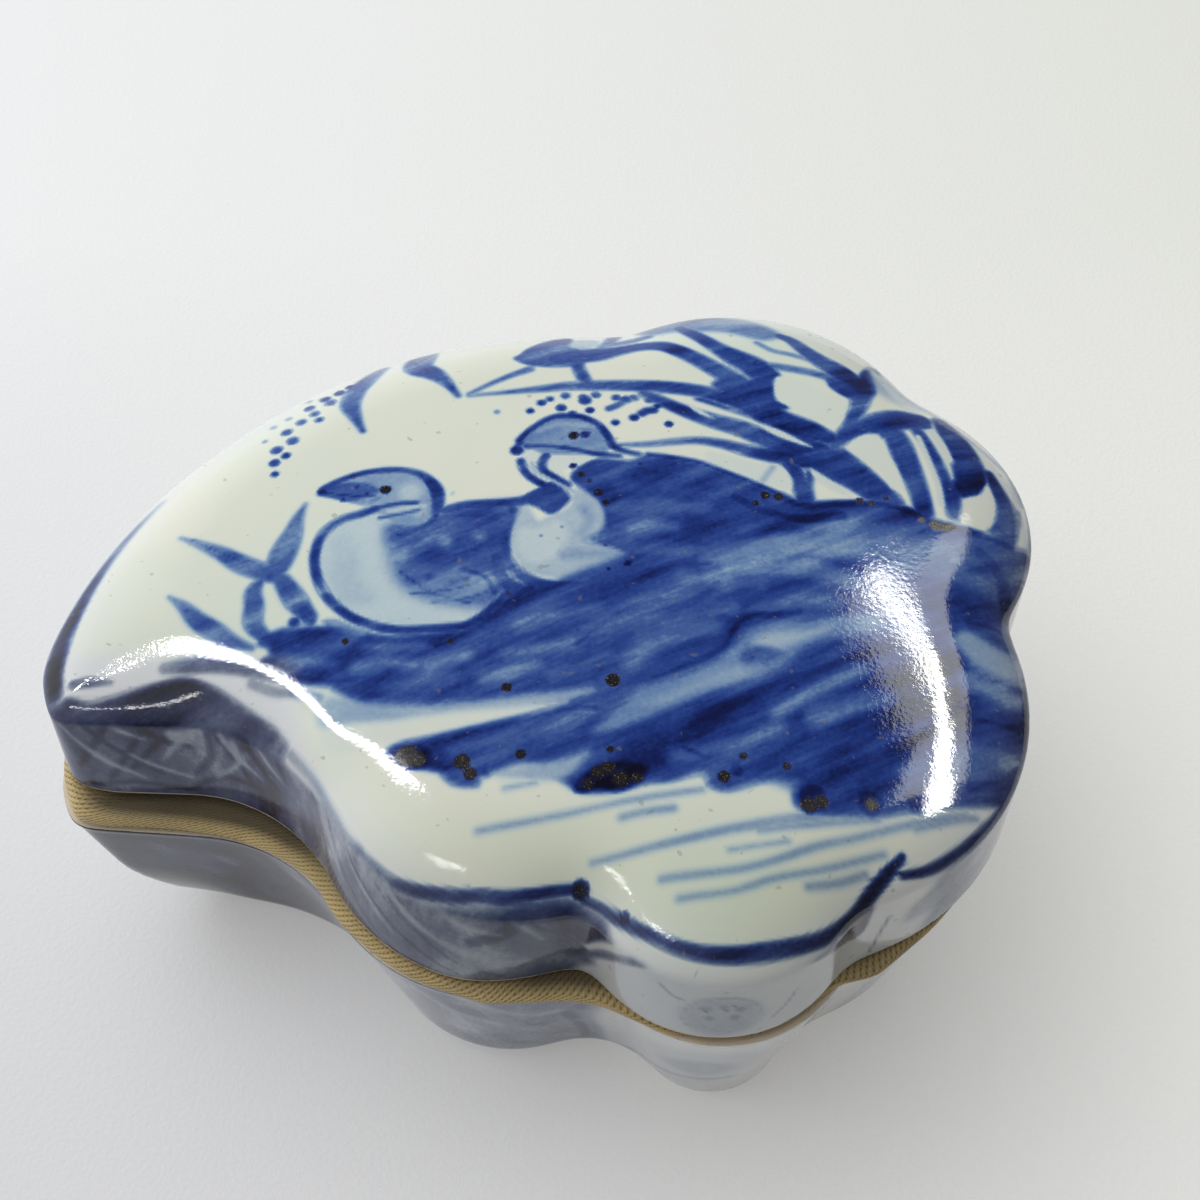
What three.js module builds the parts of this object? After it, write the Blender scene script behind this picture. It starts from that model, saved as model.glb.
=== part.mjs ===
// A porcelain incense box: a hollow base and a domed lid of one scalloped comma outline, with a folded
// strip of cotton laid on the base's rim so that the two glazed edges never touch.
// Millimetres and degrees, +Z up. The base stands on its foot at z = 0.

import * as THREE from 'three';

// Plan size of the closed box's lid.
const LENGTH = 73.5;
const WIDTH = 61.5;

// Plan outline, anticlockwise from the blunt tip of the tail, about the middle of the box. Each corner is
// in shares of the length and the width, and starts an arc to the next one. The bow is how far that arc
// stands out from its chord, as a share of the chord (negative where it bends inwards).
const TIP_BACK = { share: [-0.578, -0.22], bow: 0 };
const TIP_FRONT = { share: [-0.558, -0.29], bow: 0 };
const TAIL_ROOT = { share: [-0.415, -0.293], bow: -0.117 };
const SWAY = { share: [-0.275, -0.411], bow: 0.197 };
const NOTCHES = [
  { share: [-0.033, -0.519], bow: 0.318 },
  { share: [0.211, -0.513], bow: 0.221 },
  { share: [0.381, -0.12], bow: 0.245 },
  { share: [0.31, 0.241], bow: 0.238 },
  { share: [-0.004, 0.348], bow: 0.119 },
];
const TAIL_BACK = { share: [-0.436, 0.137], bow: 0.084 };
const CORNER_SOFTNESS = 1.2;

// Base.
const BASE_HEIGHT = 19;
const BASE_TAPER = 14.5;
const BASE_TAIL_SWELL = 1;
const FOOT_ROUND = 4;
const FLOOR_THICKNESS = 3;
const FLOOR_FILLET = 2.5;
const LIP_SETBACK = 4.6;
const LIP_THICKNESS = 1.6;
const LIP_HEIGHT = 1.5;

// Lid.
const LID_WALL_HEIGHT = 7.6;
const LID_WALL_THICKNESS = 3;
const LID_TOP_THICKNESS = 2.8;
const SHOULDER_WIDTH = 7.2;
const SHOULDER_HEIGHT = 1.9;
const CEILING_FILLET = 2.2;
const DOME_RISE = 3.1;
const DOME_FULLNESS = 0.8;

// How the lid sits on the cotton: tipped towards the front, turned a little, and lifted.
const LID_TILT_X = 2.6;
const LID_TILT_Y = 0.7;
const LID_TURN = -2.9;
const LID_SHIFT = [1.1, 0.3];
const LID_LIFT = 2.53;

// Cotton strip.
const CLOTH_BRIDGE = 1.6;
const CLOTH_RECESS = 0.5;
const CLOTH_PROUD = 0.3;
const CLOTH_ROLL = 0.5;

// Shared.
const CLEARANCE = 0.25;
const EDGE_ROUND = 0.35;
const POINT_SPACING = 1.95;
const FINE_SPACING = 0.25;
const CORNER_CROWDING = 0.6;
const DOME_GRID = 1.25;
const DOME_SWEEPS = 400;
const DOME_OVER_RELAXATION = 1.9;

const radians = THREE.MathUtils.degToRad;

function gap(p, q) {
  return Math.hypot(q[0] - p[0], q[1] - p[1]);
}

// A corner of the plan outline in millimetres, moved by a small step where its piece differs.
function corner({ share, bow }, step = [0, 0]) {
  return { at: [LENGTH * share[0] + step[0], WIDTH * share[1] + step[1]], bow };
}

// Points of the arc from p to q, q itself left out.
function arcPoints(p, q, rise, count) {
  const chord = gap(p, q);
  const along = [(q[0] - p[0]) / chord, (q[1] - p[1]) / chord];
  const out = [along[1], -along[0]];
  const points = [];
  for (let i = 0; i < count; i += 1) {
    const t = i / count;
    let x = chord * t;
    let y = 0;
    if (rise !== 0) {
      const radius = (chord * chord / 4 + rise * rise) / (2 * Math.abs(rise));
      const half = 2 * Math.atan(2 * Math.abs(rise) / chord);
      const angle = half * (2 * t - 1);
      x = chord / 2 + radius * Math.sin(angle);
      y = Math.sign(rise) * (radius * Math.cos(angle) - radius + Math.abs(rise));
    }
    points.push([p[0] + along[0] * x + out[0] * y, p[1] + along[1] * x + out[1] * y]);
  }
  return points;
}

// Averages a closed row of points with its neighbours, weighted by distance along the row.
function soften(points, spacing, softness) {
  const reach = Math.round(3 * softness / spacing);
  const count = points.length;
  return points.map((point, i) => {
    let x = 0;
    let y = 0;
    let total = 0;
    for (let j = -reach; j <= reach; j += 1) {
      const weight = Math.exp(-0.5 * (j * spacing / softness) ** 2);
      const other = points[(i + j + count) % count];
      x += weight * other[0];
      y += weight * other[1];
      total += weight;
    }
    return [x / total, y / total];
  });
}

// A closed outline from its corners: finely drawn, softened, then thinned with points crowded at corners.
function drawOutline(corners) {
  const fine = [];
  const picks = [];
  corners.forEach(({ at, bow }, k) => {
    const next = corners[(k + 1) % corners.length];
    const chord = gap(at, next.at);
    const fineCount = Math.round(chord / FINE_SPACING);
    const count = Math.round(chord / POINT_SPACING);
    for (let i = 0; i < count; i += 1) {
      const t = i / count - CORNER_CROWDING * Math.sin(2 * Math.PI * i / count) / (2 * Math.PI);
      picks.push(fine.length + Math.round(t * fineCount));
    }
    fine.push(...arcPoints(at, next.at, bow * chord, fineCount));
  });
  const soft = soften(fine, FINE_SPACING, CORNER_SOFTNESS);
  return { fine: soft, points: picks.map((i) => soft[i]) };
}

function distanceToOutline(outline, x, y) {
  const fine = outline.fine;
  let least = Infinity;
  for (let i = 0; i < fine.length; i += 1) {
    const [ax, ay] = fine[i];
    least = Math.min(least, (x - ax) ** 2 + (y - ay) ** 2);
  }
  return Math.sqrt(least);
}

// The outline drawn in by a depth: each point goes towards the middle until it is that far from the edge.
function inset(outline, depth, from = outline.points) {
  if (depth <= 0) return from;
  return from.map(([x, y]) => {
    let inner = 0;
    let outer = 1;
    for (let step = 0; step < 22; step += 1) {
      const middle = (inner + outer) / 2;
      if (distanceToOutline(outline, middle * x, middle * y) > depth) inner = middle;
      else outer = middle;
    }
    return [inner * x, inner * y];
  });
}

function scaled(points, share) {
  return points.map(([x, y]) => [share * x, share * y]);
}

// Points moved outwards from the middle by a distance, or inwards where it is negative.
function movedOut(points, distance) {
  return points.map(([x, y]) => {
    const share = 1 + distance / Math.hypot(x, y);
    return [share * x, share * y];
  });
}

function atHeight(points, height) {
  return points.map(([x, y]) => [x, y, typeof height === 'function' ? height(x, y) : height]);
}

// Skins a row of rings of equal count. A closed section joins its last ring to its first, and an open one
// gets a flat cap at each end. Rings run anticlockwise in plan, outside top first.
function loft(rings, closedSection = false) {
  const count = rings[0].length;
  const positions = rings.flat(2);
  const faces = [];
  const pairs = closedSection ? rings.length : rings.length - 1;
  for (let k = 0; k < pairs; k += 1) {
    const upper = k * count;
    const lower = ((k + 1) % rings.length) * count;
    for (let i = 0; i < count; i += 1) {
      const j = (i + 1) % count;
      faces.push(upper + i, lower + i, lower + j, upper + i, lower + j, upper + j);
    }
  }
  if (!closedSection) {
    const capOf = (ring) => THREE.ShapeUtils.triangulateShape(ring.map(([x, y]) => new THREE.Vector2(x, y)), []);
    const last = (rings.length - 1) * count;
    capOf(rings[0]).forEach(([a, b, c]) => faces.push(a, b, c));
    capOf(rings[rings.length - 1]).forEach(([a, b, c]) => faces.push(last + a, last + c, last + b));
  }
  const geometry = new THREE.BufferGeometry();
  geometry.setAttribute('position', new THREE.Float32BufferAttribute(positions, 3));
  geometry.setIndex(faces);
  geometry.computeVertexNormals();
  return geometry;
}

// Quarter round from the top of a corner to its side, as [share of the radius inwards, share down].
function quarterRound(steps) {
  return Array.from({ length: steps + 1 }, (_, i) => {
    const angle = Math.PI / 2 * i / steps;
    return [1 - Math.sin(angle), 1 - Math.cos(angle)];
  });
}

// How a stretched skin would swell inside the outline, from 0 at the edge to 1 at its highest point.
function swellOf(outline) {
  const xs = outline.fine.map((p) => p[0]);
  const ys = outline.fine.map((p) => p[1]);
  const x0 = Math.min(...xs) - DOME_GRID;
  const y0 = Math.min(...ys) - DOME_GRID;
  const nx = Math.ceil((Math.max(...xs) - x0) / DOME_GRID) + 2;
  const ny = Math.ceil((Math.max(...ys) - y0) / DOME_GRID) + 2;
  const reach = new Map();
  const inside = (x, y) => {
    let odd = false;
    const fine = outline.fine;
    for (let i = 0, j = fine.length - 1; i < fine.length; j = i, i += 1) {
      const [ax, ay] = fine[i];
      const [bx, by] = fine[j];
      if ((ay > y) !== (by > y) && x < ax + (bx - ax) * (y - ay) / (by - ay)) odd = !odd;
    }
    return odd;
  };
  for (let iy = 1; iy < ny - 1; iy += 1) {
    for (let ix = 1; ix < nx - 1; ix += 1) {
      if (inside(x0 + ix * DOME_GRID, y0 + iy * DOME_GRID)) reach.set(iy * nx + ix, true);
    }
  }
  const cells = [...reach.keys()];
  const height = new Float64Array(nx * ny);
  for (let sweep = 0; sweep < DOME_SWEEPS; sweep += 1) {
    for (const cell of cells) {
      const around = height[cell - 1] + height[cell + 1] + height[cell - nx] + height[cell + nx];
      height[cell] += DOME_OVER_RELAXATION * ((around + 1) / 4 - height[cell]);
    }
  }
  const highest = Math.max(...height);
  return (x, y) => {
    const gx = (x - x0) / DOME_GRID;
    const gy = (y - y0) / DOME_GRID;
    const ix = Math.floor(gx);
    const iy = Math.floor(gy);
    const fx = gx - ix;
    const fy = gy - iy;
    const low = height[iy * nx + ix] * (1 - fx) + height[iy * nx + ix + 1] * fx;
    const high = height[(iy + 1) * nx + ix] * (1 - fx) + height[(iy + 1) * nx + ix + 1] * fx;
    return (low * (1 - fy) + high * fy) / highest;
  };
}

// Lid: outer skin from the crown down, the flat edge that rests on the cotton, then the hollow underside.
function lidGeometry(outline) {
  const swell = swellOf(outline);
  const dome = (x, y) => DOME_RISE * Math.max(swell(x, y), 0) ** DOME_FULLNESS;
  const crown = LID_WALL_HEIGHT + SHOULDER_HEIGHT;
  const ceiling = crown - LID_TOP_THICKNESS;
  const shoulderTop = inset(outline, SHOULDER_WIDTH);
  const ceilingEdge = inset(outline, LID_WALL_THICKNESS + CEILING_FILLET);
  const shares = [0.22, 0.45, 0.68, 0.86];
  const rings = shares.map((share) => atHeight(scaled(shoulderTop, share), (x, y) => crown + dome(x, y)));
  for (const [inwards, down] of quarterRound(7)) {
    const ring = inset(outline, inwards * SHOULDER_WIDTH);
    rings.push(atHeight(ring, (x, y) => crown - down * SHOULDER_HEIGHT + (1 - down) * dome(x, y)));
  }
  rings.push(atHeight(outline.points, EDGE_ROUND));
  rings.push(atHeight(inset(outline, EDGE_ROUND), 0));
  rings.push(atHeight(inset(outline, LID_WALL_THICKNESS), 0));
  for (const [inwards, down] of quarterRound(3).reverse()) {
    const ring = inset(outline, LID_WALL_THICKNESS + inwards * CEILING_FILLET);
    rings.push(atHeight(ring, (x, y) => ceiling - down * CEILING_FILLET + (1 - down) * dome(x, y)));
  }
  shares.slice(1).reverse().forEach((share) => {
    rings.push(atHeight(scaled(ceilingEdge, share), (x, y) => ceiling + dome(x, y)));
  });
  return loft(rings);
}

// Base: from the floor of the hollow up over the lip, out across the rim and down the tapered wall.
function baseGeometry(outline) {
  const lipTop = BASE_HEIGHT + LIP_HEIGHT;
  const hollow = LIP_SETBACK + LIP_THICKNESS;
  const slope = Math.tan(radians(BASE_TAPER));
  const wallDepth = (height) => slope * (BASE_HEIGHT - height);
  const rings = quarterRound(3).map(([inwards, down]) => atHeight(
    inset(outline, hollow + (1 - down) * FLOOR_FILLET),
    FLOOR_THICKNESS + (1 - inwards) * FLOOR_FILLET,
  ));
  rings.push(atHeight(inset(outline, hollow), lipTop - EDGE_ROUND));
  rings.push(atHeight(inset(outline, hollow - EDGE_ROUND), lipTop));
  rings.push(atHeight(inset(outline, LIP_SETBACK + EDGE_ROUND), lipTop));
  rings.push(atHeight(inset(outline, LIP_SETBACK), lipTop - EDGE_ROUND));
  rings.push(atHeight(inset(outline, LIP_SETBACK), BASE_HEIGHT));
  rings.push(atHeight(inset(outline, EDGE_ROUND), BASE_HEIGHT));
  rings.push(atHeight(outline.points, BASE_HEIGHT - EDGE_ROUND));
  rings.push(atHeight(inset(outline, wallDepth(BASE_HEIGHT / 2)), BASE_HEIGHT / 2));
  const taper = radians(BASE_TAPER);
  const roundTop = FOOT_ROUND * (1 - Math.sin(taper));
  const roundCentre = wallDepth(roundTop) + FOOT_ROUND * Math.cos(taper);
  const steps = 5;
  for (let i = 0; i <= steps; i += 1) {
    const angle = taper + (Math.PI / 2 - taper) * i / steps;
    const depth = roundCentre - FOOT_ROUND * Math.cos(angle);
    rings.push(atHeight(inset(outline, depth), FOOT_ROUND * (1 - Math.sin(angle))));
  }
  return loft(rings);
}

// Cotton strip: a flat ring round the lip, wedge-shaped because the lid is tipped, with a rolled outer edge.
function clothGeometry(inner, outline, lidPlane) {
  const bottom = BASE_HEIGHT + CLEARANCE;
  const top = (x, y) => lidPlane(x, y) - CLEARANCE;
  const outer = movedOut(outline.points, CLOTH_PROUD);
  const rolled = movedOut(outer, -CLOTH_ROLL);
  const between = (share) => (x, y) => bottom + share * (top(x, y) - bottom);
  return loft([
    atHeight(inner, top),
    atHeight(rolled, top),
    atHeight(outer, between(0.7)),
    atHeight(outer, between(0.3)),
    atHeight(rolled, bottom),
    atHeight(inner, bottom),
  ], true);
}

function notchCorners() {
  return NOTCHES.map((place) => ({ ...corner(place), notch: true }));
}

function lidCorners() {
  return [corner(TIP_BACK), corner(TIP_FRONT), corner(TAIL_ROOT), corner(SWAY), ...notchCorners(), corner(TAIL_BACK)];
}

// The base's tail is a little fuller in front, as the base came from its own mould.
function baseCorners() {
  const lean = Math.SQRT1_2 * BASE_TAIL_SWELL;
  return [
    corner(TIP_BACK),
    corner(TIP_FRONT),
    corner(TAIL_ROOT, [0, -BASE_TAIL_SWELL]),
    corner(SWAY, [-lean, -lean]),
    ...notchCorners(),
    corner(TAIL_BACK),
  ];
}

// The cotton bridges each notch, and lies a little back from the lobes between them.
function clothCorners() {
  const corners = baseCorners();
  return corners.map(({ at, bow, notch }, k) => {
    const next = corners[(k + 1) % corners.length];
    let flatter = 0;
    if (notch && next.notch) flatter = CLOTH_BRIDGE + CLOTH_RECESS;
    else if (notch || next.notch) flatter = CLOTH_BRIDGE / 2;
    return { at: notch ? movedOut([at], CLOTH_BRIDGE)[0] : at, bow: bow - flatter / gap(at, next.at) };
  });
}

const glaze = { color: 0xd9dccb, roughness: 0.12, metalness: 0 };
const lidOutline = drawOutline(lidCorners());
const baseOutline = drawOutline(baseCorners());
const clothOutline = drawOutline(clothCorners());

const lid = new THREE.Mesh(lidGeometry(lidOutline), new THREE.MeshStandardMaterial(glaze));
lid.name = 'lid';
lid.position.set(LID_SHIFT[0], LID_SHIFT[1], BASE_HEIGHT + LID_LIFT);
lid.rotation.set(radians(LID_TILT_X), radians(LID_TILT_Y), radians(LID_TURN), 'ZYX');
lid.updateMatrixWorld(true);

// Height of the lid's lower plane above any point of the plan.
const lidNormal = new THREE.Vector3(0, 0, 1).transformDirection(lid.matrixWorld);
const lidPlane = (x, y) => lid.position.z
  - (lidNormal.x * (x - lid.position.x) + lidNormal.y * (y - lid.position.y)) / lidNormal.z;

const base = new THREE.Mesh(baseGeometry(baseOutline), new THREE.MeshStandardMaterial(glaze));
base.name = 'base';

const lipFace = inset(baseOutline, LIP_SETBACK - CLEARANCE, clothOutline.points);
const cloth = new THREE.Mesh(
  clothGeometry(lipFace, clothOutline, lidPlane),
  new THREE.MeshStandardMaterial({ color: 0x8f7443, roughness: 0.95, metalness: 0 }),
);
cloth.name = 'cotton_strip';

// The origin goes under the middle of the whole box.
const incenseBox = new THREE.Group();
incenseBox.add(base, cloth, lid);
incenseBox.updateMatrixWorld(true);
const extent = new THREE.Box3().setFromObject(incenseBox, true);
const middle = extent.getCenter(new THREE.Vector3());
incenseBox.position.set(-middle.x, -middle.y, 0);
incenseBox.updateMatrixWorld(true);

export default incenseBox;
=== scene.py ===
"""A blue-and-white porcelain incense box, with a folded cotton strip between its base and its lid."""

import math

import bpy
import numpy as np
from mathutils import Matrix, Vector
from mathutils.geometry import delaunay_2d_cdt
from mathutils.kdtree import KDTree


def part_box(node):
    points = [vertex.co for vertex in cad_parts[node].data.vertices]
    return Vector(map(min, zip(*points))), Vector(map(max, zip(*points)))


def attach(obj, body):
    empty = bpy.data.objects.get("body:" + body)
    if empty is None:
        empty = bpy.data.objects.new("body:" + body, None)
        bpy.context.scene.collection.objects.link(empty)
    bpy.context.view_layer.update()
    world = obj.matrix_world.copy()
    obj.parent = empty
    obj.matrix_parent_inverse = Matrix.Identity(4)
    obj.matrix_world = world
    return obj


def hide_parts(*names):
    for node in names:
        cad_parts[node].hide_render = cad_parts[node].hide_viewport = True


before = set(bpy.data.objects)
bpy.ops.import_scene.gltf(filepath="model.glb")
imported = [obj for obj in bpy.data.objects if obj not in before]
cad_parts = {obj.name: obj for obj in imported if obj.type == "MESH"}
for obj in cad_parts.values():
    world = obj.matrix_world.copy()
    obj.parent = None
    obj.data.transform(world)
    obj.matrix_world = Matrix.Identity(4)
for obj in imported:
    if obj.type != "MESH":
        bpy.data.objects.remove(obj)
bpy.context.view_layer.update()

# Sizes in millimetres, in the part's own plan, as the solids have them.
LENGTH, WIDTH = 73.5, 61.5
TIP_BACK = (-0.578, -0.22, 0.0)
TIP_FRONT = (-0.558, -0.29, 0.0)
TAIL_ROOT = (-0.415, -0.293, -0.117)
SWAY = (-0.275, -0.411, 0.197)
NOTCHES = [(-0.033, -0.519, 0.318), (0.211, -0.513, 0.221), (0.381, -0.12, 0.245), (0.31, 0.241, 0.238),
           (-0.004, 0.348, 0.119)]
TAIL_BACK = (-0.436, 0.137, 0.084)
CORNER_SOFTNESS = 1.2
BASE_HEIGHT, BASE_TAPER, BASE_TAIL_SWELL = 19.0, 14.5, 1.0
FOOT_ROUND, FLOOR_THICKNESS, FLOOR_FILLET = 4.0, 3.0, 2.5
LIP_SETBACK, LIP_THICKNESS, LIP_HEIGHT, LIP_ROUND = 4.6, 1.6, 1.5, 0.6
LID_WALL_HEIGHT, LID_WALL_THICKNESS, LID_TOP_THICKNESS = 7.6, 3.0, 2.8
SHOULDER_WIDTH, SHOULDER_HEIGHT, CEILING_FILLET = 7.2, 1.9, 2.2
DOME_RISE, DOME_FULLNESS = 3.1, 0.8
LID_TILT = (2.6, 0.7, -2.9)
LID_SHIFT = (1.1, 0.3, 21.53)
CLOTH_BRIDGE, CLOTH_RECESS, CLOTH_PROUD, CLEARANCE, EDGE_ROUND = 1.6, 0.5, 0.3, 0.25, 0.35

# Small forms that the solids leave out. A span is a size and the two ramps between which it holds, each
# from where it starts to where it ends, in millimetres round the edge from the tail's tip.
LID_FLARE, LID_FLARE_POWER = (0.9, (2, 8), (38, 47)), 0.8
# Where the shoulder rolls wider or tighter: x, y, reach and the change of its width.
SHOULDER_ROLLS = [(-35, -13, 7, 3.7), (-28, -15.5, 5, -1.9), (-21.5, -20.5, 5, -3.4), (-14, -26, 6, -0.6)]
SHOULDER_ARC = (51, 90)
CREASE_SOFTNESS, CREASE_RAMP = 1.3, (1.5, 4.5)
FOOT_TIP_DRAWN_IN, FOOT_TIP_REACH, FOOT_TIP_HEIGHT, FOOT_TIP_POWER = 3.2, 5, 10, 1.6
CLOTH_SINK = (0.65, (1, 6), (20, 30))
CLOTH_LEAN = (0.35, (0.5, 3), (21, 26))
CLOTH_TUCKS = [(1.3, (53, 58), (66, 70)), (0.4, (40, 43), (45, 48))]
CLOTH_TIP_TUCK, CLOTH_TIP_REACH = 0.7, 4
# Painted shade on the top of the strip under the lid's edge: the spans where it is deepest, and its least and
# most darkness.
CLOTH_SHADOWS = [(1, (1, 5), (20, 26)), (1, (40, 44), (47, 51))]
CLOTH_PAINTED_SHADE = (0.25, 1.0)
CLOTH_THICKNESS, CLOTH_LAYER_SHARE, CLOTH_LARGEST_BULGE = 0.42, 0.44, 0.62
GROOVE_ALONG, GROOVE_REACH, GROOVE_DEPTH, GROOVE_UP, GROOVE_WIDTH = 12.5, 4.5, 0.45, 0.27, 0.07
# Ripples round the strip: how many waves go round it, and how high they are.
EDGE_RIPPLE = [(9, 0.07), (17, 0.06), (31, 0.04)]
FOLD_RIPPLE = [(13, 0.05), (23, 0.04)]

# How finely things are drawn: points round an edge, and millimetres between points elsewhere.
COLUMNS, CLOTH_COLUMNS = 800, 900
EDGE_STEP, GRID_STEP, TOP_STEP, BRUSH_STEP = 0.1, 0.25, 0.25, 0.5

# Where the painting turns from one surface to the next, in millimetres up the lid or across its plan.
WALL_TO_TOP = (7.3, 8.3)
# Painted reflection: how far above the wall the walls' greying fades out, and how much higher it reaches at
# the tail.
REFLECTION_GREY_FADE, REFLECTION_GREY_HIGHER_AT_TAIL = 2.8, 2.6
REFLECTION_GREY_TAIL_X, REFLECTION_GREY_TAIL_Y = (-21, -25), (-12, -15)
# Painted shade: where the lid darkens towards the front lobe.
FRONT_SHADE_AND_POOL_Y = (-22, -33)
NOWHERE = -99.0
# A brush's thinnest line, how softly it ends unless told, and how wide a filled patch's darker rim is.
THINNEST, BRUSH_SOFTNESS, RIM_WIDTH = 0.05, 0.35, 0.4


# Plan outlines and the fields drawn from them.
def smoothstep(low, high, value):
    t = np.clip((value - low) / (high - low), 0.0, 1.0)
    return t * t * (3.0 - 2.0 * t)


def span(along, size, rise, fall):
    return size * smoothstep(*rise, along) * (1 - smoothstep(*fall, along))


def near_tip(along, length, reach):
    return np.exp(-(np.minimum(along, length - along) / reach) ** 2)


def bell(reach, step, softness):
    """The weights of a blur, which add up to one."""
    weights = np.exp(-0.5 * (np.arange(-reach, reach + 1) * step / softness) ** 2)
    return weights / weights.sum()


def arc_points(p, q, rise, count):
    chord = math.hypot(q[0] - p[0], q[1] - p[1])
    along = np.array([(q[0] - p[0]) / chord, (q[1] - p[1]) / chord])
    out = np.array([along[1], -along[0]])
    t = np.arange(count) / count
    x, y = chord * t, np.zeros(count)
    if abs(rise) > 1e-9:
        radius = (chord * chord / 4 + rise * rise) / (2 * abs(rise))
        angle = 2 * math.atan(2 * abs(rise) / chord) * (2 * t - 1)
        x = chord / 2 + radius * np.sin(angle)
        y = math.copysign(1, rise) * (radius * np.cos(angle) - radius + abs(rise))
    return np.array(p) + np.outer(x, along) + np.outer(y, out)


def draw_outline(corners):
    """Arcs from corner to corner, with the corners blurred soft."""
    arcs = []
    for (x, y, bow), (x1, y1, _) in zip(corners, corners[1:] + corners[:1]):
        chord = math.hypot(x1 - x, y1 - y)
        arcs.append(arc_points((x, y), (x1, y1), bow * chord, round(chord / EDGE_STEP)))
    points = np.vstack(arcs)
    reach = round(3 * CORNER_SOFTNESS / EDGE_STEP)
    ring = np.vstack([points[-reach:], points, points[:reach]])
    weights = bell(reach, EDGE_STEP, CORNER_SOFTNESS)
    return np.stack([np.convolve(ring[:, k], weights, "valid") for k in (0, 1)], 1)


def spaced(points, count):
    """Evenly spaced points round an outline, and how far along it each one is."""
    closed = np.vstack([points, points[:1]])
    length = np.r_[0, np.cumsum(np.hypot(*np.diff(closed, axis=0).T))]
    at = np.arange(count) * length[-1] / count
    return np.stack([np.interp(at, length, closed[:, k]) for k in (0, 1)], 1), at


def is_inside(polygon, x, y):
    odd = np.zeros(x.shape, bool)
    ax, ay = polygon.T
    bx, by = np.roll(polygon, -1, 0).T
    for x0, y0, x1, y1 in zip(ax, ay, bx, by):
        if y0 != y1:
            odd ^= ((y0 > y) != (y1 > y)) & (x < x0 + (x1 - x0) * (y - y0) / (y1 - y0))
    return odd


class Field:
    """Values on a square grid, read between its points with smooth slopes."""

    def __init__(self, x0, y0, step, values):
        self.x0, self.y0, self.step, self.values = x0, y0, step, values

    def __call__(self, x, y):
        gx, gy = (x - self.x0) / self.step, (y - self.y0) / self.step
        ix, iy = np.floor(gx).astype(int), np.floor(gy).astype(int)
        rows, columns = self.values.shape
        ix, iy = np.clip(ix, 1, columns - 3), np.clip(iy, 1, rows - 3)
        total = 0
        for j, wy in enumerate(self.weights(gy - iy)):
            for i, wx in enumerate(self.weights(gx - ix)):
                total = total + wx * wy * self.values[iy + j - 1, ix + i - 1]
        return total

    @staticmethod
    def weights(f):
        """The four weights of a cubic spline between two points."""
        f = np.clip(f, 0, 1)
        before, at = (1 - f) ** 3 / 6, (3 * f**3 - 6 * f**2 + 4) / 6
        return before, at, (-3 * f**3 + 3 * f**2 + 3 * f + 1) / 6, f**3 / 6


class Plan:
    """One plan outline, with the depth of any point inside its edge."""

    def __init__(self, corners):
        self.edge = draw_outline(corners)
        self.rim, self.along = spaced(self.edge, COLUMNS)
        x0, y0 = self.edge.min(0) - 2
        x1, y1 = self.edge.max(0) + 2
        self.xs, self.ys = np.arange(x0, x1, GRID_STEP), np.arange(y0, y1, GRID_STEP)
        gx, gy = np.meshgrid(self.xs, self.ys)
        tree = KDTree(len(self.edge))
        for i, (x, y) in enumerate(self.edge):
            tree.insert((x, y, 0), i)
        tree.balance()
        far = [tree.find((x, y, 0))[2] for x, y in zip(gx.ravel(), gy.ravel())]
        far = np.array(far).reshape(gx.shape)
        self.within = is_inside(self.edge[::4], gx, gy)
        self.signed = np.where(self.within, far, -far)
        self.depth = self.field(self.signed)

    def field(self, values, coarser=1):
        return Field(self.xs[0], self.ys[0], GRID_STEP * coarser, values)

    def ring(self, depth, rim=None, halvings=24):
        """The rim moved towards the middle until it is that deep."""
        rim = self.rim if rim is None else rim
        if depth <= 0:
            return rim
        inner, outer = np.zeros(len(rim)), np.ones(len(rim))
        for _ in range(halvings):
            middle = (inner + outer) / 2
            deep = self.depth(*(middle[:, None] * rim).T) > depth
            inner, outer = np.where(deep, middle, inner), np.where(deep, outer, middle)
        return inner[:, None] * rim

    def stretched_skin(self, coarser=2, sweeps=700, hurry=1.93):
        """A skin stretched over the outline, from 0 at its edge to 1 at its highest point."""
        inner = self.within[::coarser, ::coarser]
        height = np.zeros(inner.shape)
        rows, columns = np.indices(inner.shape)
        for _ in range(sweeps):
            for parity in (0, 1):
                around = np.zeros(inner.shape)
                around[1:-1] += height[:-2] + height[2:]
                around[:, 1:-1] += height[:, :-2] + height[:, 2:]
                turn = inner & ((rows + columns) % 2 == parity)
                height[turn] += hurry * ((around[turn] + 1) / 4 - height[turn])
        return self.field(height / height.max(), coarser)

    def soft_depth(self, softness, reach=16):
        """The depth with its ridge along the tail rounded off, as the glazed clay has no crease there."""
        kernel = bell(reach, GRID_STEP, softness)
        rounded = self.signed
        for axis in (0, 1):
            rounded = np.apply_along_axis(np.convolve, axis, rounded, kernel, "same")
        return self.field(rounded)


def lid_corners(root_step=(0, 0), sway_step=(0, 0)):
    def at(place, step=(0, 0)):
        return (LENGTH * place[0] + step[0], WIDTH * place[1] + step[1], place[2])

    front = [at(TIP_BACK), at(TIP_FRONT), at(TAIL_ROOT, root_step), at(SWAY, sway_step)]
    return front + [at(notch) for notch in NOTCHES] + [at(TAIL_BACK)]


def base_corners():
    lean = math.sqrt(0.5) * BASE_TAIL_SWELL
    return lid_corners((0, -BASE_TAIL_SWELL), (-lean, -lean))


def moved_out(points, distance):
    """Points moved away from the middle, or towards it where the distance is negative."""
    points = np.asarray(points, float)
    return points * (1 + distance / np.hypot(*points.T))[:, None]


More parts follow.
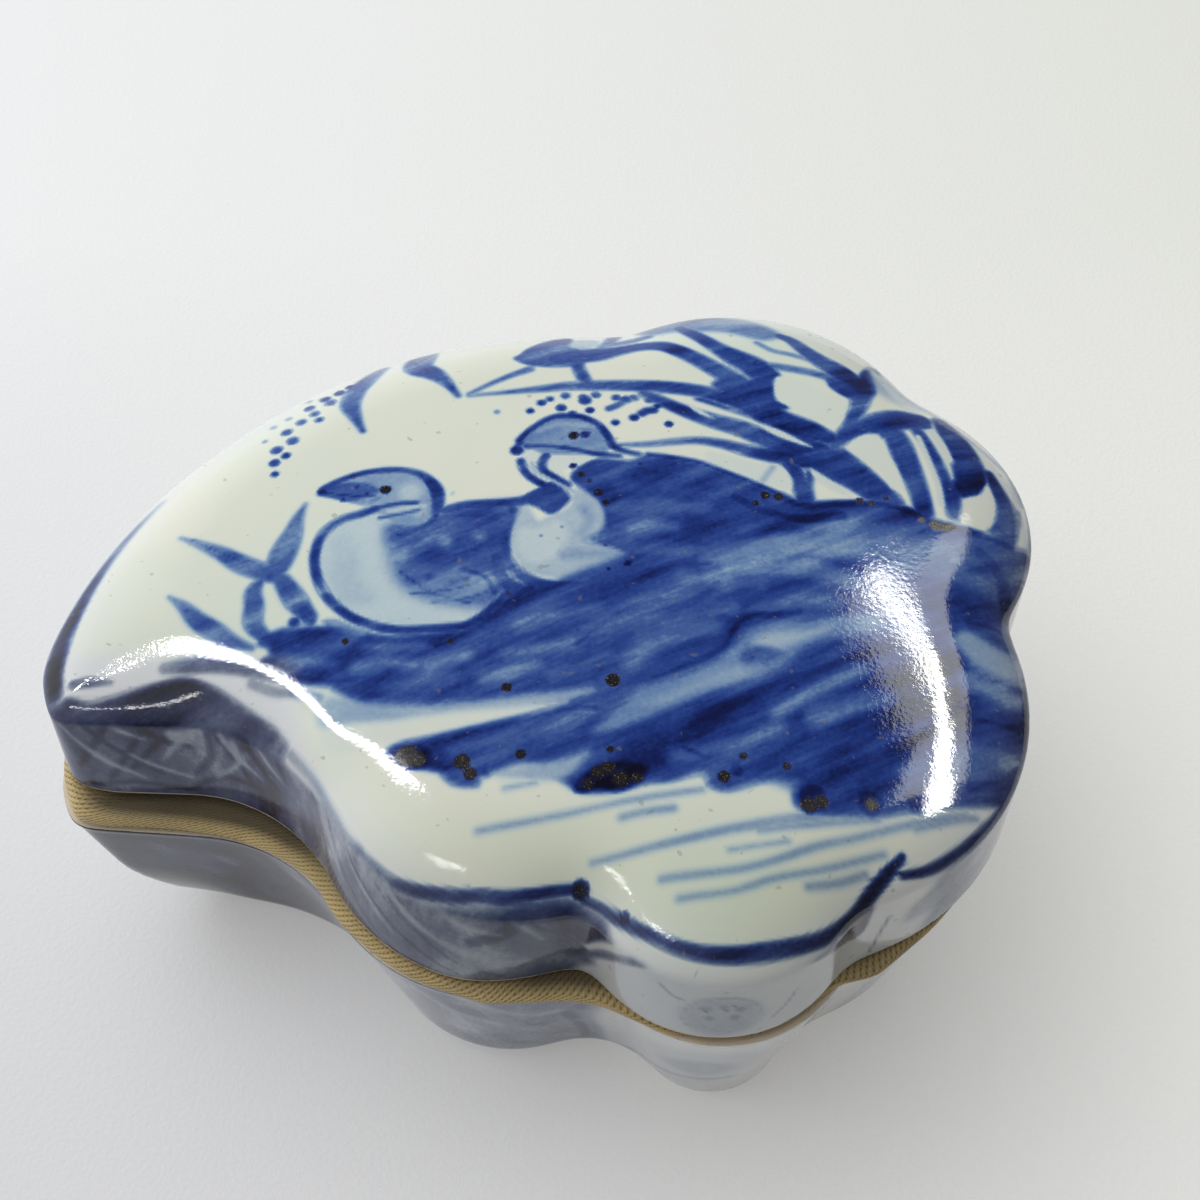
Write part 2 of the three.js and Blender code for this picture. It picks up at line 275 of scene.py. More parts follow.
def cloth_corners():
    """The base's outline, with its notches bridged by the cloth."""
    corners = base_corners()
    first, last = 4, 4 + len(NOTCHES)
    made = []
    for k, (x, y, bow) in enumerate(corners):
        x1, y1, _ = corners[(k + 1) % len(corners)]
        notches = (first <= k < last) + (first <= k + 1 < last)
        flatter = (0, CLOTH_BRIDGE / 2, CLOTH_BRIDGE + CLOTH_RECESS)[notches] / math.hypot(x1 - x, y1 - y)
        if first <= k < last:
            x, y = moved_out([(x, y)], CLOTH_BRIDGE)[0]
        made.append((x, y, bow - flatter))
    return made


lid_plan = Plan(lid_corners())
base_plan = Plan(base_corners())
swell = lid_plan.stretched_skin()
soft_depth = lid_plan.soft_depth(CREASE_SOFTNESS)


def dome(x, y):
    return DOME_RISE * np.clip(swell(x, y), 0, 1) ** DOME_FULLNESS


def lid_surface(x, y):
    depth = lid_plan.depth(x, y)
    depth = depth + (soft_depth(x, y) - depth) * smoothstep(*CREASE_RAMP, depth)
    width = SHOULDER_WIDTH
    for cx, cy, reach, more in SHOULDER_ROLLS:
        width = width + more * np.exp(-((x - cx) ** 2 + (y - cy) ** 2) / reach**2)
    up = np.sqrt(1 - (1 - np.clip(depth / width, 0, 1)) ** 2)
    return LID_WALL_HEIGHT + up * (SHOULDER_HEIGHT + dome(x, y))


# From plan millimetres to the object's metres.
base_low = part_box("base")[0]
base_corner = base_plan.edge.min(0)
offset = Vector((base_low.x * 1000 - base_corner[0], base_low.y * 1000 - base_corner[1], 0))
to_object = Matrix.Scale(0.001, 4) @ Matrix.Translation(offset)
turn_x, turn_y, turn_z = (math.radians(angle) for angle in LID_TILT)
lid_turn = Matrix.Rotation(turn_z, 4, "Z") @ Matrix.Rotation(turn_y, 4, "Y") @ Matrix.Rotation(turn_x, 4, "X")
lid_place = to_object @ Matrix.Translation(LID_SHIFT) @ lid_turn


# Meshes.
def at_height(ring, z):
    return np.c_[ring, np.broadcast_to(z, len(ring))]


def rounding(radius, count):
    """Steps round a quarter circle: how far in from its face, and how far from its end."""
    angles = np.radians(np.linspace(0, 90, count))
    return [(radius * (1 - math.cos(a)), radius * (1 - math.sin(a))) for a in angles]


def skin(rings, closed=False):
    """Quads between rings of equal count, each seen anticlockwise from outside."""
    count = len(rings[0])
    i = np.arange(count)
    j = (i + 1) % count
    quads = []
    for k in range(len(rings) if closed else len(rings) - 1):
        upper, lower = k * count, (k + 1) % len(rings) * count
        quads.append(np.stack([upper + i, lower + i, lower + j, upper + j], 1))
    return quads


def fan(first, middle):
    """Triangles from a ring, which starts at its first point, to one point in its middle."""
    i = np.arange(COLUMNS)
    return np.stack([first + i, np.full(COLUMNS, middle), first + (i + 1) % COLUMNS], 1)


def make_object(name, points, faces, matrix, materials, face_materials=None):
    m = np.array(matrix)
    mesh = bpy.data.meshes.new(name)
    mesh.from_pydata((points @ m[:3, :3].T + m[:3, 3]).tolist(), [], faces)
    mesh.polygons.foreach_set("use_smooth", [True] * len(mesh.polygons))
    for material in materials:
        mesh.materials.append(material)
    if face_materials is not None:
        mesh.polygons.foreach_set("material_index", face_materials)
    mesh.update()
    obj = bpy.data.objects.new(name, mesh)
    bpy.context.scene.collection.objects.link(obj)
    return obj


def put(obj, name, values):
    attribute = obj.data.attributes.new(name, "FLOAT", "POINT")
    attribute.data.foreach_set("value", np.asarray(values, np.float32))


# Brushwork.
def curve(points, closed):
    """A smooth line through points, with the other columns carried along."""
    if len(points) < 3:
        return points
    if closed:
        padded = np.vstack([points[-1:], points, points[:2]])
    else:
        padded = np.vstack([2 * points[0] - points[1], points, 2 * points[-1] - points[-2]])
        padded[0, 2:], padded[-1, 2:] = points[0, 2:], points[-1, 2:]
    made = []
    for a, b, c, d in zip(padded[:-3], padded[1:-2], padded[2:-1], padded[3:]):
        parts = max(1, math.ceil(math.hypot(*(c - b)[:2]) / BRUSH_STEP))
        for i in range(parts):
            t = i / parts
            bend = (2 * a - 5 * b + 4 * c - d) * t * t + (3 * b - a - 3 * c + d) * t**3
            made.append(0.5 * (2 * b + (c - a) * t + bend))
    if not closed:
        made.append(points[-1])
    made = np.array(made)
    if made.shape[1] > 2:
        made[:, 2] = np.maximum(made[:, 2], THINNEST)
    return made


def from_run(x, y, a, b):
    """How far from a to b each place is, as a share, and how far off that line."""
    run = b[:2] - a[:2]
    t = np.clip(((x - a[0]) * run[0] + (y - a[1]) * run[1]) / max(run @ run, 1e-9), 0, 1)
    return t, np.hypot(x - a[0] - t * run[0], y - a[1] - t * run[1])


class Canvas:
    """How much cobalt and iron lies at each vertex, in the brush's own coordinates, in millimetres."""

    def __init__(self, x, y):
        self.x, self.y = x, y
        self.cobalt = np.zeros(len(x))
        self.iron = np.zeros(len(x))
        self.soft = BRUSH_SOFTNESS

    def near(self, low, high):
        return np.nonzero((self.x > low[0]) & (self.x < high[0]) & (self.y > low[1]) & (self.y < high[1]))[0]

    def lay(self, at, tone, cover, how):
        """Over covers what lies there, and under only darkens it."""
        if how == "over":
            self.cobalt[at] += (tone - self.cobalt[at]) * cover
        else:
            self.cobalt[at] = np.maximum(self.cobalt[at], tone * cover)

    def stroke(self, points, width, tone, soft=None, how="under"):
        """A brush drawn through points; width and tone are one number, or one for each point."""
        points = np.asarray(points, float)
        count = len(points)
        soft = soft or self.soft
        path = curve(np.c_[points, np.broadcast_to(width, count), np.broadcast_to(tone, count)], closed=False)
        margin = path[:, 2].max() / 2 + soft
        at = self.near(path[:, :2].min(0) - margin, path[:, :2].max(0) + margin)
        x, y = self.x[at], self.y[at]
        nearest, shade = np.full(len(at), 1e9), np.zeros(len(at))
        for a, b in zip(path[:-1], path[1:]):
            t, far = from_run(x, y, a, b)
            far -= (a[2] + t * (b[2] - a[2])) / 2
            closer = far < nearest
            nearest[closer] = far[closer]
            shade[closer] = (a[3] + t * (b[3] - a[3]))[closer]
        self.lay(at, shade, smoothstep(soft / 2, -soft / 2, nearest), how)

    def strokes(self, rows, soft=None, how="under"):
        for points, width, tone in rows:
            self.stroke(points, width, tone, soft, how)

    def area(self, points, tone, soft=0.5, how="over", rim=0.0):
        """A filled patch; rim is how much darker it dries at its own edge."""
        path = curve(np.asarray(points, float), closed=True)
        at = self.near(path.min(0) - soft, path.max(0) + soft)
        x, y = self.x[at], self.y[at]
        nearest = np.full(len(at), 1e9)
        for a, b in zip(path, np.roll(path, -1, 0)):
            nearest = np.minimum(nearest, from_run(x, y, a, b)[1])
        deep = np.where(is_inside(path, x, y), nearest, -nearest)
        shade = tone + rim * np.exp(-np.maximum(deep, 0) / RIM_WIDTH)
        self.lay(at, shade, smoothstep(-soft / 2, soft / 2, deep), how)

    def areas(self, rows, soft=0.5, how="over", rim=0.0):
        for points, tone in rows:
            self.area(points, tone, soft, how, rim)

    def spot(self, x, y, radius, tone=0.95, iron=0.0, soft=BRUSH_SOFTNESS, how="under"):
        reach = radius + soft
        at = self.near((x - reach, y - reach), (x + reach, y + reach))
        far = np.hypot(self.x[at] - x, self.y[at] - y) - radius
        cover = smoothstep(soft / 2, -soft / 2, far)
        self.lay(at, tone, cover, how)
        self.iron[at] = np.maximum(self.iron[at], iron * cover)

    def spots(self, places, radius, tone=0.95, iron=0.0, soft=BRUSH_SOFTNESS, how="under"):
        """Spots at (x, y), or at (x, y, radius) where one has its own size."""
        for x, y, *own in places:
            self.spot(x, y, own[0] if own else radius, tone, iron, soft, how)


# The pond, in the lid's own plan: bank, ducks, reeds and leaves, each from its brush strokes.
def paint_bank(c):
    c.area([(-25.4, -11.9), (-22.4, -11.5), (-19.5, -12), (-17, -12.4), (-14, -12.2), (-11.4, -11.8),
        (-9.6, -10.5), (-8.4, -8.8), (-6.5, -8), (-4, -7.8), (-1.4, -6.7), (0.3, -5.8), (-1.7, -4.6),
        (-3.4, -4), (-2, -2.8), (-2, -0.7), (-3, 0.6), (-3.8, 1.6), (-3.4, 3.2), (-1.9, 4.1), (0.2, 4),
        (1.5, 4.75), (3.5, 4.5), (5.4, 4.1), (7.3, 3.25), (9.2, 2.3), (11.4, 1.15), (13, 0.2), (16, 0.5),
        (20, 0.8), (23, -0.5), (25, -0.8), (29, -1.2), (31, -1.4), (32, -6), (30.6, -9.5), (31, -15),
        (29.8, -20), (27.5, -24.2), (26, -23.6), (24.2, -24), (22.3, -24.4), (19.2, -25.15), (16.5, -25.9),
        (13.3, -26), (11.6, -25.6), (11.3, -24.6), (12, -23.2), (9.8, -23.6), (6.9, -24.5), (5.5, -24.1),
        (5.2, -23.2), (3, -23.9), (1.4, -24.1), (-0.7, -24.7), (-3, -24.8), (-4.5, -23.9), (-6.8, -22.7),
        (-8.6, -23.2), (-9.9, -23.7), (-10.1, -24.3), (-11.8, -24.1), (-13.2, -22.9), (-16, -22.4),
        (-16.4, -21.5), (-15.6, -20.5), (-17.6, -19), (-19.6, -17.2), (-22, -15.6), (-24.8, -14.6)], 0.8,
        soft=1, rim=0.08)
    c.area([(-1, -21), (3, -18.8), (7, -16.8), (11.4, -14.6), (15, -12.6), (19, -11.6), (23.6, -11.6),
        (24.6, -16), (23.6, -21), (20, -24.4), (14, -24.8), (8, -22.9), (2, -23)], 0.94, soft=2.2)
    c.area([(13, -1.2), (19, -0.9), (24, -2), (24.6, -4.4), (20, -5.2), (14, -4.2)], 0.6, soft=2.4)
    # Washes where the brush ran drier, along the bank's slope.
    c.strokes([
        ([(0.7, -5.1), (2.6, -4.7), (4.4, -4.9)], 1.2, 0.56),
        ([(6, -5.3), (9, -4.2), (12.4, -3.6), (17, -3.6)], 1.9, 0.46),
        ([(-1, -0.9), (2, -0.5), (5.7, -0.7)], 1.2, 0.6),
        ([(0.3, -2.8), (1.9, -2.4), (3.4, -2.6)], 0.9, 0.55),
        ([(7, -7.4), (10, -6.1), (13.6, -6), (16, -6.6)], 1.7, 0.46),
        ([(2.8, -11.5), (5.2, -10.4), (7.6, -9.9)], 0.9, 0.52),
        ([(-19, -15), (-17, -14.6), (-15, -14.9)], 0.9, 0.42),
        ([(-14, -15), (-12.6, -14.5), (-11.4, -14.2)], 0.9, 0.42),
        ([(-18.6, -13.2), (-16.4, -13.4), (-14.4, -13.3)], 0.7, 0.5),
        ([(-16.8, -16.6), (-14.5, -16), (-12.2, -15.8)], 0.7, 0.56),
        ([(-10, -15.9), (-8, -15.4), (-6.4, -15.1)], 0.9, 0.46),
        ([(-8.4, -14), (-6, -13.6), (-3.6, -13.2)], 0.8, 0.56),
        ([(-7.6, -11.8), (-4.6, -10.8), (-2.2, -10)], 0.9, 0.6),
        ([(-5.4, -15.7), (-3.2, -14.8), (-1.4, -14)], 0.8, 0.55),
        ([(0.2, -14.4), (1.8, -13), (4.2, -12), (6, -11.6)], 1.7, 0.5),
        ([(14, -2.2), (18.5, -2), (23, -3.2)], 1.4, 0.54), ([(19, -4.6), (24, -5), (28, -6)], 1.5, 0.6),
        ([(24.6, -11.2), (26.6, -12), (28.6, -12.6)], 2.2, 0.36),
        ([(24.4, -14.6), (26.6, -15), (28.8, -15.2)], 1.5, 0.46),
        ([(4, -7.2), (7, -6.9), (9.5, -7.4)], 1, 0.6),
        ([(13, -18.4), (16, -17.2), (18, -16.6)], 1.5, 0.6),
        ([(3.4, -22), (7, -21), (10.4, -19.6)], 1.1, 0.6), ([(25, -20), (27.8, -20.4)], 1.2, 0.56),
        ([(9, -10.2), (12, -8.9), (15, -8.8)], 1, 0.56),
        ([(-12, -21.6), (-8, -20.8), (-5, -19.8), (-2.6, -18.6)], 0.7, 0.6),
        ([(10.4, -18.6), (13.6, -16.2), (16.4, -14.4)], 1, 0.6),
        ([(-24.6, -14), (-22.6, -14.3), (-20.8, -14.6)], 0.6, 0.5),
        ([(19, -22.6), (21.6, -21.6), (24, -20)], 1.1, 0.58),
    ], soft=1.2, how="over")
    # Darker drags of the loaded brush.
    c.strokes([
        ([(-13.4, -13.4), (-11.8, -12.6), (-10, -11.2), (-8.5, -9.4), (-7, -8.4)], 1.1, 0.92),
        ([(-3.6, -13.3), (-2.2, -11.9), (-0.4, -10.4), (2.4, -9.2)], 0.8, 0.95),
        ([(3.4, -3.9), (5.2, -3), (7.2, -1.7)], 0.7, 0.93), ([(3.6, -9), (6.65, -7.5)], 0.6, 0.9),
        ([(8, 0.6), (10, -0.6), (12.8, -1.2), (16, -0.6)], 1.3, 0.96),
        ([(1.85, -15.9), (3.8, -15.1), (5.7, -14.15), (7, -13.2), (7.6, -11.5), (8.8, -10.5), (10.3, -10.3),
            (12.4, -9.9)], 1, 0.94),
        ([(4, -19.7), (5.7, -18.9), (7.6, -17.8), (9.5, -16.4), (11.5, -15.1), (13.4, -13.8),
            (14.9, -12.6)], 1.5, 0.98), ([(9, -23), (12.3, -21.9), (15, -20.6), (17.4, -19.6)], 0.9, 0.96),
        ([(-20.4, -16.3), (-18, -17.6), (-14, -17.1)], 0.7, 0.9),
        ([(-9, -17.1), (-5.8, -17), (-2.6, -16.2), (-0.4, -16.6)], 0.7, 0.92),
        ([(-15, -22.2), (-12, -22.9), (-9.6, -23.2)], 0.9, 0.92),
        ([(-13.6, -21.2), (-8, -19.7), (-3.4, -18.4), (-1.4, -18.6)], 0.8, 0.92),
        ([(0, -20), (3, -18.8), (5, -17.9)], 1, 0.94),
        ([(24.8, -9.2), (26.6, -9), (28.6, -9.2)], 1, 0.96),
        ([(26.4, -2.6), (28, -4.4), (28.2, -7.4)], 1.6, 0.94),
        ([(24.6, -17.6), (26.6, -17.6), (28.4, -17.4)], 1.1, 0.92),
        ([(23.6, -22.8), (26, -22), (28, -20.4)], 1.3, 0.98),
        ([(15, -24.7), (19.8, -24), (23.4, -22.6)], 1, 0.95),
        ([(-23.6, -15.4), (-21, -15.9), (-19, -15.9)], 0.9, 0.92),
        ([(-22, -12.5), (-19, -12.8), (-15.4, -12.9)], 0.5, 0.9),
        ([(-12, -16.4), (-9, -14.8), (-6.6, -12.6)], 0.5, 0.86),
        ([(-1.4, -21.6), (2.4, -20.9), (6, -22.4)], 0.8, 0.9),
        ([(0, -8.2), (3.4, -6.4), (6, -5.9)], 0.6, 0.86), ([(-6, -9.3), (-3, -8.8), (0, -7.2)], 0.7, 0.88),
        ([(10, -5.2), (14, -4.9), (18.6, -5.6)], 0.45, 0.76),
        ([(0.6, 3.2), (4.6, 2.4), (8.6, 0.9)], 0.7, 0.84), ([(1, 0.6), (5, 0.2), (8.6, -1.4)], 0.6, 0.84),
    ], soft=0.9)
    # Pale bands left between the strokes.
    c.area([(-21, -17.2), (-17, -17.8), (-13, -18), (-9, -17.6), (-5.5, -17.2), (-2.4, -17),
        (-4.4, -17.9), (-8, -18.8), (-12, -19.4), (-16, -20), (-21, -19.6)], 0.22, soft=1.1)
    c.area([(-21, -19.6), (-16, -19.2), (-11.6, -18.7), (-7.4, -18.3), (-4.2, -17.9), (-6.6, -18.8),
        (-10, -19.7), (-13.4, -20.5), (-16.8, -21.1), (-20, -21.4)], 0.03, soft=0.8)
    c.area([(-9, -23.5), (-6.8, -22.7), (-4.6, -22.4), (-2.6, -21.7), (-3.2, -22.8), (-4.6, -23.9),
        (-7, -23.9)], 0.24, soft=0.9)
    c.area([(-2.4, -20.3), (-1.2, -18.9), (-0.1, -17.8), (0.9, -16.7), (2.8, -16), (4.6, -15.2),
        (6.4, -14.2), (7.6, -12.6), (8.6, -11.4), (10.4, -10.8), (13, -10.5), (15.6, -9.8), (17.6, -9.6),
        (18.6, -10.6), (16.6, -11.5), (14.4, -12.2), (12.6, -13.1), (11.4, -14.4), (9.4, -15.6),
        (7.2, -16.4), (4.6, -17.7), (2, -19), (-0.4, -20)], 0.38, soft=1, rim=0.1)
    c.area([(1.6, -17.8), (4.4, -16.2), (7.2, -14.8), (8.2, -15.4), (5.4, -16.9), (2.4, -18.2)], 0.26,
        soft=1.2)
    c.area([(8.9, -12.7), (10, -11.8), (12.6, -11.5), (14.6, -11), (12.6, -12.3), (10.4, -13.3)], 0.2,
        soft=1)
    c.area([(8, -13.4), (9.6, -13.1), (10.9, -13.6), (9.6, -14.5), (8.2, -14.5)], 0.62, soft=0.9)
    c.spot(8.8, -14.1, 0.22, 0.9)
    c.area([(24.4, -10.2), (26.4, -10.6), (28.4, -11.4), (28.6, -13), (26.6, -13.6), (24.6, -13)], 0.28,
        soft=1.8)
    # Round ends of the dark strokes along the shore.
    c.area([(-3.6, -24.5), (-2.8, -23.5), (-2, -22.7), (-0.1, -22.5), (1.4, -22.9), (1.2, -23.7),
        (0.5, -24.3), (-0.7, -24.75), (-1.85, -24.5), (-3, -24.85)], 1.12, soft=0.5)
    c.spots([(12.6, -24.7, 1.15), (16.5, -24.8, 1.1), (7.5, -23, 0.7), (19.6, -24.4, 0.8)], 1, 1.08,
        soft=0.9)
    c.area([(-16.2, -21.4), (-14.6, -21.1), (-13.5, -21.6), (-13.7, -22.8), (-15.4, -22.8), (-16.3, -22.2)],
        1.1, soft=0.6)
    # The dark line where the bank meets the reeds.
    c.stroke([(1.5, 4.7), (3.5, 4.4), (5.4, 4), (7.3, 3.1), (9.2, 2.2), (11.4, 1.05)], 0.5, 0.96,
        soft=0.5)
    c.stroke([(11.4, 0.9), (13, 0.1), (16, 0.45), (20, 0.7), (23, -0.6), (25, -0.85), (29, -1.3)], 0.9, 1,
        soft=0.6)


def paint_left_duck(c):
    c.area([(-22, -2.3), (-20.3, -1.6), (-18.6, -1), (-15.8, -0.4), (-13.7, -1), (-10.6, -0.4), (-8, -0.3),
        (-8.9, -2.6), (-9.2, -5.5), (-8.8, -8.4), (-9.6, -10.4), (-12.5, -11.4), (-15.8, -11.6),
        (-19.5, -10.5), (-21.9, -7.85), (-22.6, -4.75)], 0.14, soft=0.4)
    c.area([(-18.1, -2.6), (-16.8, -3.2), (-15, -2.2), (-13.7, -1.3), (-10.6, -0.6), (-8, -0.4),
        (-8.6, -1.9), (-9.1, -3.6), (-9, -5.5), (-9, -9), (-9.9, -10.3), (-12.5, -10.1), (-15.2, -9.2),
        (-17, -7.6), (-17.5, -6), (-18, -4)], 0.44, soft=2.2)
    c.area([(-17.8, -3), (-15.4, -2), (-13, -1), (-10, -0.7), (-8.4, -1.6), (-9, -4.6), (-9.2, -8.6),
        (-10.6, -7), (-12.8, -6.3), (-15, -6.2), (-16.6, -5)], 0.74, soft=1.8)
    c.stroke([(-9.6, -5.6), (-9.3, -7), (-8.8, -8), (-8, -8.5)], 1.3, 0.84, soft=0.6)
    c.area([(-19.65, -2.2), (-18.5, -2.2), (-18.1, -4), (-17.9, -5.5), (-17.3, -7.3), (-16.4, -8.6),
        (-15.2, -9.4), (-13.3, -10.1), (-11.4, -10.4), (-10.6, -10.6), (-11.2, -11.3), (-12.5, -11.6),
        (-15.8, -11.5), (-17.7, -11.3), (-19.5, -10.5), (-20.8, -9.4), (-21.9, -7.85), (-22.4, -5.9),
        (-22.35, -4.2), (-21.9, -2.85), (-20.8, -2.3)], 0.12, soft=2)
    c.area([(-21.8, -4), (-20.8, -3.2), (-19.8, -4.6), (-19.4, -7), (-18.2, -9.4), (-20.2, -9.6),
        (-21.6, -7.4)], 0.17, soft=1.6)
    for place in [(-16.8, -5.9, 0.4), (-14.4, -7.4, 0.6), (-11.6, -7.6, 0.5)]:
        c.spot(*place, tone=0.68, soft=1.3)
    for place in [
        (-16.6, -5.6, 0.5), (-13.4, -4.2, 0.45), (-13.7, -8.2, 0.6), (-11.4, -9, 0.5), (-11, -3.6, 0.4),
    ]:
        c.spot(*place, tone=0.4, soft=1, how="over")
    for points in [
        [(-17, -3.4), (-15, -3.2), (-13.4, -2.4)], [(-15.2, -5), (-13, -5.4), (-11, -4.8)],
        [(-13.6, -1.8), (-11, -1.6), (-9.2, -2.4)], [(-12, -6.6), (-10.4, -7.4), (-9.6, -8.8)],
    ]:
        c.stroke(points, 0.7, 0.88, soft=0.9)
    for points in ([(-15.6, -8.8), (-13, -8.6), (-10.6, -7.8)], [(-14, -9.6), (-12, -9.4), (-10.2, -8.8)]):
        c.stroke(points, 0.35, 0.66, soft=0.5)
    c.strokes([
        ([(-16.6, -6.8), (-14.4, -8.6), (-11.4, -9.7)], 0.4, 0.66),
        ([(-15.4, -4), (-13, -3.9), (-10.4, -3.2)], 0.35, 0.66),
    ], soft=0.6)
    c.stroke([(-13.7, -1.15), (-12.15, -0.65), (-10.6, -0.5), (-9.1, -0.4), (-7.9, -0.2)], 0.85, 0.82,
        soft=0.5)
    c.area([(-23.1, 1.4), (-22.1, 2), (-20.9, 2.6), (-19.6, 2.95), (-18.1, 3.1), (-16.8, 2.9), (-15.7, 2.4),
        (-14.9, 1.5), (-14.5, 0.6), (-14.4, -1.2), (-15, -2.4), (-17, -2.4), (-18.9, -1), (-20.6, -0.2),
        (-22.3, 0.5)], 0.3, soft=0.4)
    c.spot(-16.4, 0.8, 0.9, 0.16, soft=1.2, how="over")
    c.spot(-15.6, -1.1, 0.5, 0.16, soft=0.8, how="over")
    c.area([(-23.5, 0.8), (-23, 1.5), (-22, 1.95), (-19.5, 1.7), (-18.5, 0.4), (-19.5, -0.2), (-21, 0),
        (-22.3, 0.4)], 0.62, soft=0.4)
    c.stroke([(-23.2, 1), (-21.6, 0.75), (-20, 0.45), (-18.9, 0.6)], 0.35, 0.86, soft=0.3)
    c.spots([(-21.4, 0.25), (-19.65, 0.7), (-20.5, 1.5)], 0.24, 0.98)
    c.spot(-23.1, 1.1, 0.4, 0.92)
    c.stroke([(-23.1, 1.4), (-22.15, 2.05), (-20.9, 2.65), (-19.65, 3), (-18.1, 3.15), (-16.8, 3),
        (-15.7, 2.55), (-14.85, 1.65), (-14.4, 0.8), (-14.25, -0.35), (-14.3, -1.6), (-14.65, -2.3),
        (-15.6, -3), (-16.6, -3.4)], (0.5, 0.5, 0.55, 0.55, 0.6, 0.6, 0.7, 0.95, 1.05, 0.95, 0.8, 0.7, 0.7,
        0.6), 0.8, soft=0.5)
    c.spots([(-20.9, 2.65), (-15.7, 2.55), (-14.3, -1.6), (-23.15, 1.15)], 0.25, 1.05, iron=0.5)
    c.spot(-18.3, 1.1, 0.44, 1.12, iron=1)
    c.stroke([(-18.9, -0.75), (-17.3, -0.35), (-15.8, -0.3)], 0.45, 0.72)
    c.stroke([(-17.9, -1.1), (-16.5, -0.8), (-15.2, -0.6)], 0.3, 0.12, how="over")
    c.stroke([(-18.5, -1.7), (-17, -1.4), (-15.6, -1)], 0.4, 0.55)
    c.stroke([(-18.9, -0.8), (-20.05, -1.3), (-21.2, -1.7), (-22.15, -2.45), (-22.75, -3.4), (-23, -4.75),
        (-22.95, -5.9), (-22.6, -7.25), (-21.95, -8.6), (-21, -9.75), (-19.85, -10.7), (-18.5, -11.4),
        (-17.15, -11.8), (-15.8, -12), (-14.1, -11.9), (-12.5, -11.8), (-11.4, -11.6), (-10.2, -10.7),
        (-9.1, -9.4), (-8.6, -8.9), (-7.55, -8.5)], 0.72, 0.8, soft=0.5)
    c.spots([(-8.6, -8.9)], 0.25, 1.05, iron=0.5)


